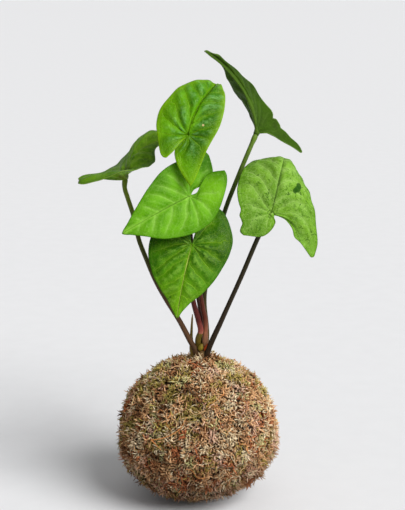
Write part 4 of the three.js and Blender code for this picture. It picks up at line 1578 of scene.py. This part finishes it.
def pick_patches(places):
    """The patch of each head: greener above and on the left, redder below, browner on the left as painted
    shade.
    """
    seeds = ball_place(*ball_angles(even_directions(PATCH_COUNT)), np.zeros(PATCH_COUNT))
    up = (seeds[:, 2] - BALL_MIDDLE) / UPPER_HEIGHT
    side = seeds[:, 0] / BALL_RADIUS
    green = np.clip(0.75 + 1.6 * up - 0.4 * side + 1.6 * noise_at(seeds, 26, 1), 0.1, 4)
    red = np.clip(1 - 0.8 * up + 1.6 * noise_at(seeds, 22, 8), 0.15, 3)
    # More dark brown on the left is painted shade, as the light falls from the right.
    weights = {"straw": 1.2 + 0.4 * side, "tan": 1.4 + 0 * up, "pink": 0.75 * red, "rust": 0.45 * red,
               "olive": 0.9 * green, "pale": 0.5 * green, "brown": 0.9 - 0.85 * side}
    weights = np.stack([weights[name] for name in PATCHES], axis=1)
    steps = np.cumsum(weights, axis=1) / weights.sum(axis=1, keepdims=True)
    choice = (draw.random((PATCH_COUNT, 1)) > steps).sum(axis=1)
    moved = places + draw.normal(0, EDGE_BLUR, places.shape)
    nearest = ((moved[:, None, :] - seeds[None, :, :]) ** 2).sum(axis=2).argmin(axis=1)
    picked = choice[nearest]
    stray = draw.random(len(places)) < STRAY_SHARE
    picked[stray] = draw.choice(len(PATCHES), int(stray.sum()), p=STRAY_WEIGHTS)
    return np.array(list(PATCHES))[picked]


head_patch = pick_patches(head_places)
for name in PATCHES:
    print(name, int((head_patch == name).sum()), "heads")

# %% [markdown]
# ## Growing the fingers
#
# Each head is a star of five fingers that lean outwards at different angles. Each finger
# gets a place, a direction, a length and a thickness by seeded chance. Copies that share
# one mesh would be lighter in Blender, but in the exported model each finger has to have a
# shape of its own, bent down and sideways in an arc.

# %% Growing the fingers
TURN_SPREAD = 0.35
LEAN = (30, 22)
LEAN_LIMITS = (-5, 85)
HEAD_SIZE = (0.7, 1.35)
FINGER_LENGTH = (2.7, 5.9)
FINGER_WIDTH = (0.32, 0.64)
HEAD_LIFT = (-2.0, 1.2)
FOOT_SPREAD = (0.1, 0.7)


def grow_fingers(places, outward, count):
    """Root, heading, length and thickness of each finger of each head."""
    total = len(places) * count
    up = np.repeat(outward, count, axis=0)
    root = np.repeat(places, count, axis=0)
    helper = np.where(np.abs(up[:, 2:]) < 0.9, (0.0, 0.0, 1.0), (1.0, 0.0, 0.0))
    side = np.cross(helper, up)
    side /= np.linalg.norm(side, axis=1)[:, None]
    other = np.cross(up, side)
    start = np.repeat(draw.uniform(0, 2 * np.pi, len(places)), count)
    heading = start + np.tile(np.arange(count), len(places)) * 2 * np.pi / count
    heading = heading + draw.normal(0, TURN_SPREAD, total)
    lying = np.cos(heading)[:, None] * side + np.sin(heading)[:, None] * other
    lean = np.radians(np.clip(draw.normal(*LEAN, total), *LEAN_LIMITS))
    grow = np.cos(lean)[:, None] * lying + np.sin(lean)[:, None] * up
    curl = np.cross(np.cross(grow, up), grow)
    curl /= np.linalg.norm(curl, axis=1)[:, None]
    size = np.repeat(draw.uniform(*HEAD_SIZE, len(places)), count)
    length = size * draw.uniform(*FINGER_LENGTH, total)
    width = draw.uniform(*FINGER_WIDTH, total)
    lift = np.repeat(draw.uniform(*HEAD_LIFT, len(places)), count)
    root = root + up * lift[:, None] + lying * draw.uniform(*FOOT_SPREAD, total)[:, None]
    return root, grow, curl, length, width


root, grow, curl, length, width = grow_fingers(head_places, head_outward, FINGERS_A_HEAD)
print(len(root), "fingers,", round(float(length.mean()), 1), "mm long on average")

# %% [markdown]
# ## Meshes of fingers
#
# A modelling tool called for each of forty thousand fingers would be slow, so the corners of
# all fingers are worked out together and handed to the mesh in one go. None may reach below
# the floor, and each corner keeps its finger's tone and how far along the finger it lies.

# %% Meshes of fingers
DROOP = (-0.6, 0.8)
SIDE_BEND = (-0.7, 0.7)
LOWEST_TIP = 0.15


def bend_fingers(root, grow, curl, length, width):
    """The corners of every finger, each bent down in an arc towards its curl."""
    third = np.cross(grow, curl)
    x, y, z = finger_corners.T
    droop = draw.uniform(*DROOP, len(root))[:, None] * (z**2)[None, :]
    sideways = draw.uniform(*SIDE_BEND, len(root))[:, None] * (z**2)[None, :]
    forward = z[None, :] * (1 - 0.25 * np.abs(droop))
    places = root[:, None, :] + grow[:, None, :] * (forward * length[:, None])[:, :, None]
    places += curl[:, None, :] * (x[None, :] * width[:, None] - droop * length[:, None])[:, :, None]
    places += third[:, None, :] * (y[None, :] * width[:, None] + sideways * length[:, None])[:, :, None]
    return places


def mesh_from_fingers(name, corners, tones):
    """One mesh of all fingers, with each finger's tone and the place along it."""
    count, per = corners.shape[:2]
    corners = corners.reshape(-1, 3)
    corners[:, 2] = np.maximum(corners[:, 2], LOWEST_TIP)
    faces = (finger_faces[None] + np.arange(count)[:, None, None] * per).reshape(-1, 3)
    mesh = bpy.data.meshes.new(name)
    mesh.vertices.add(len(corners))
    mesh.vertices.foreach_set("co", (corners * MM).ravel())
    mesh.loops.add(3 * len(faces))
    mesh.loops.foreach_set("vertex_index", faces.ravel())
    mesh.polygons.add(len(faces))
    mesh.polygons.foreach_set("loop_start", np.arange(0, 3 * len(faces), 3))
    mesh.update(calc_edges=True)
    mesh.polygons.foreach_set("use_smooth", np.ones(len(faces), bool))
    write_map(mesh, "along", np.tile(finger_corners[:, 2], count))
    write_map(mesh, "tone", np.repeat(tones, per))
    piece = bpy.data.objects.new(name, mesh)
    bpy.context.scene.collection.objects.link(piece)
    return piece


print("each finger has", len(finger_faces), "triangles")

# %% [markdown]
# ## The look of a finger
#
# A dry finger is light at its tip and a little paler or deeper than its neighbour. Its
# root is painted dark, painted shade where the coat hides it, and the fingers are painted
# darker and browner near the floor, painted shade under the ball. The tone of a finger and
# the place along it are attributes, so one material can shade them all.

# %% The look of a finger
TIP_LIGHT = 0.35
ROOT_SHADE_REACH = 0.48
ROOT_SHADE_DARK = 0.92
GRAIN_SIZE = 1500
FOOT_SHADE_HEIGHT = 0.07
FOOT_SHADE_DARK = 0.75


def moss_material(name, light, dark):
    material, tree, shader = new_material(name, 0.85)
    along = add_attribute(tree, "along")
    colour = add_mix(tree, add_attribute(tree, "tone"), rgb(*dark), rgb(*light))
    tips = times(tree, add_range(tree, along, 0.3, 1.0), TIP_LIGHT)
    colour = add_mix(tree, tips, colour, rgb(*light))
    # Painted shade at the root of each finger.
    base = times(tree, add_range(tree, along, ROOT_SHADE_REACH, 0.0), ROOT_SHADE_DARK)
    colour = add_mix(tree, base, colour, rgb(38, 22, 11))
    grain = add_noise(tree, object_places(tree), GRAIN_SIZE, 2)
    colour = add_mix(tree, times(tree, grain, 0.25), colour, rgb(*dark))
    height = tree.nodes.new("ShaderNodeSeparateXYZ")
    tree.links.new(object_places(tree), height.inputs[0])
    # Painted shade near the floor, under the ball.
    shaded = times(tree, add_range(tree, height.outputs["Z"], FOOT_SHADE_HEIGHT, 0.0), FOOT_SHADE_DARK)
    colour = add_mix(tree, shaded, colour, rgb(72, 46, 28))
    link(tree, colour, shader.inputs["Base Color"])
    add_bump(tree, grain, shader, 0.4, 0.0003)
    shader.inputs["Specular IOR Level"].default_value = 0.15
    return material


print("fingers are damp up to", FOOT_SHADE_HEIGHT, "m")

# %% [markdown]
# ## Making the moss
#
# Light and dark fingers stand close together, which makes the coat look deep, and the top
# and the right side are a little lighter, painted light from the upper right. Each colour
# becomes a piece of its own, so that each can have its own material.

# %% Making the moss
MIDDLE_TONE = 0.49
PAINTED_SIDE_LIGHT = 0.06
PAINTED_TOP_LIGHT = 0.16
TOP_LIGHT_START = 70
TOP_LIGHT_SPAN = 25
PATCH_TONE = 1.1
HEAD_SPREAD = 0.28
FINGER_SPREAD = (0.02, 0.28)


def head_tones(places):
    """How light each head is: painted lighter on the right and above, and varied in small patches."""
    # Painted light: the right side and the top, where the key light falls, are made lighter.
    tone = MIDDLE_TONE + PAINTED_SIDE_LIGHT * places[:, 0] / BALL_RADIUS
    tone = tone + PAINTED_TOP_LIGHT * smooth((places[:, 2] - TOP_LIGHT_START) / TOP_LIGHT_SPAN)
    tone = tone + PATCH_TONE * noise_at(places, 5, 30)
    return tone + draw.normal(0, HEAD_SPREAD, len(places))


finger_patch = np.repeat(head_patch, FINGERS_A_HEAD)
finger_tone = np.repeat(head_tones(head_places), FINGERS_A_HEAD)
finger_tone = np.clip(finger_tone + draw.normal(*FINGER_SPREAD, len(root)), 0, 1)
corners = bend_fingers(root, grow, curl, length, width)
for name, (light, dark) in PATCHES.items():
    chosen = finger_patch == name
    piece = mesh_from_fingers("sprigs_" + name, corners[chosen], finger_tone[chosen])
    piece.data.materials.append(moss_material(name + " moss", light, dark))
    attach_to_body(piece, "root")
    print(piece.name, len(piece.data.polygons), "faces")

# %% [markdown]
# ## Loose strands
#
# Here and there a long dry stem lies across the moss, straw-coloured or rusty. The longest,
# a forked orange one, crosses the front. Each could be a hair curve, but hair can't be
# exported, so each is a thin rod that follows the ball, bends a little from side to side
# and lifts off at its ends.

# %% Shapes of the strands
STRAND_COUNT = 90
STRAND_LENGTH = (8, 20)
STRAND_LIFT = 0.6
STRAND_WANDER = 0.12
STRAND_RADIUS = (0.28, 0.4)
STRAND_END = 0.14
END_LIFT = 6
LOWEST_STRAND = -0.3
FORKED_STRAND = [
    [(-37.7, -54.8, 69.5), (-30, -58.4, 72), (-21.2, -61, 76.3), (-14, -61.5, 82), (-9, -58, 89.8)],
    [(-37.7, -54.8, 69.5), (-34, -58, 67.2), (-29.4, -60.8, 63.3)],
]
FORK_OUT = 1.02
FORK_RADII = (0.5, 0.22)


def make_strand():
    """A thin rod one or two centimetres long that wanders over the moss."""
    centre = unit(draw.normal(size=3) + (0, 0, 1.2))
    centre[2] = max(centre[2], LOWEST_STRAND)
    heading = unit(np.cross(centre, draw.normal(size=3)))
    length = draw.uniform(*STRAND_LENGTH) / BALL_RADIUS
    steps = np.linspace(-0.5, 0.5, 9)
    wander = STRAND_WANDER * length * np.sin(steps * draw.uniform(3, 9) + draw.uniform(0, 6))
    sideways = np.cross(centre, heading)
    directions = centre + np.outer(steps * length, heading) + np.outer(wander, sideways)
    directions /= np.linalg.norm(directions, axis=1)[:, None]
    around, angle = ball_angles(directions)
    lift = STRAND_LIFT + draw.uniform(0, 1) + END_LIFT * steps**2 * draw.uniform(-1, 1.5)
    places = ball_place(around, angle, moss_lumps(ball_place(around, angle, 0 * lift)) + lift)
    places[:, 2] = np.maximum(places[:, 2], 1)
    return tube("strand", places, np.linspace(draw.uniform(*STRAND_RADIUS), STRAND_END, len(places)), 0)


def make_fork(path):
    places = even_line([np.array(place) * FORK_OUT for place in path], 5)
    return tube("forked strand", places, np.linspace(*FORK_RADII, len(places)), 1)


print(STRAND_COUNT, "straw strands and", STRAND_COUNT // 10, "rusty ones, with a fork in front")

# %% [markdown]
# ## Making the strands
#
# The strands of one colour are joined into one piece and take the look of the moss, all in
# one light tone, with none of the painted shade at a finger's root.

# %% Making the strands
STRAND_COLOURS = {"straw": [(226, 192, 140), (188, 150, 100)], "rusty": [(222, 152, 88), (170, 104, 54)]}
STRAND_NUMBERS = {"along": 0.8, "tone": 0.7}


def finish_strands(parts, kind):
    piece = join_pieces(parts, kind + "_strands")
    light, dark = STRAND_COLOURS[kind]
    for name, value in STRAND_NUMBERS.items():
        write_map(piece.data, name, np.full(len(piece.data.vertices), value))
    piece.data.materials.clear()
    piece.data.materials.append(moss_material(kind + " strand", light, dark))
    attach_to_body(piece, "root")
    print(piece.name, len(piece.data.polygons), "faces")


finish_strands([make_strand() for strand in range(STRAND_COUNT)], "straw")
finish_strands([make_strand() for strand in range(STRAND_COUNT // 10)]
               + [make_fork(path) for path in FORKED_STRAND], "rusty")
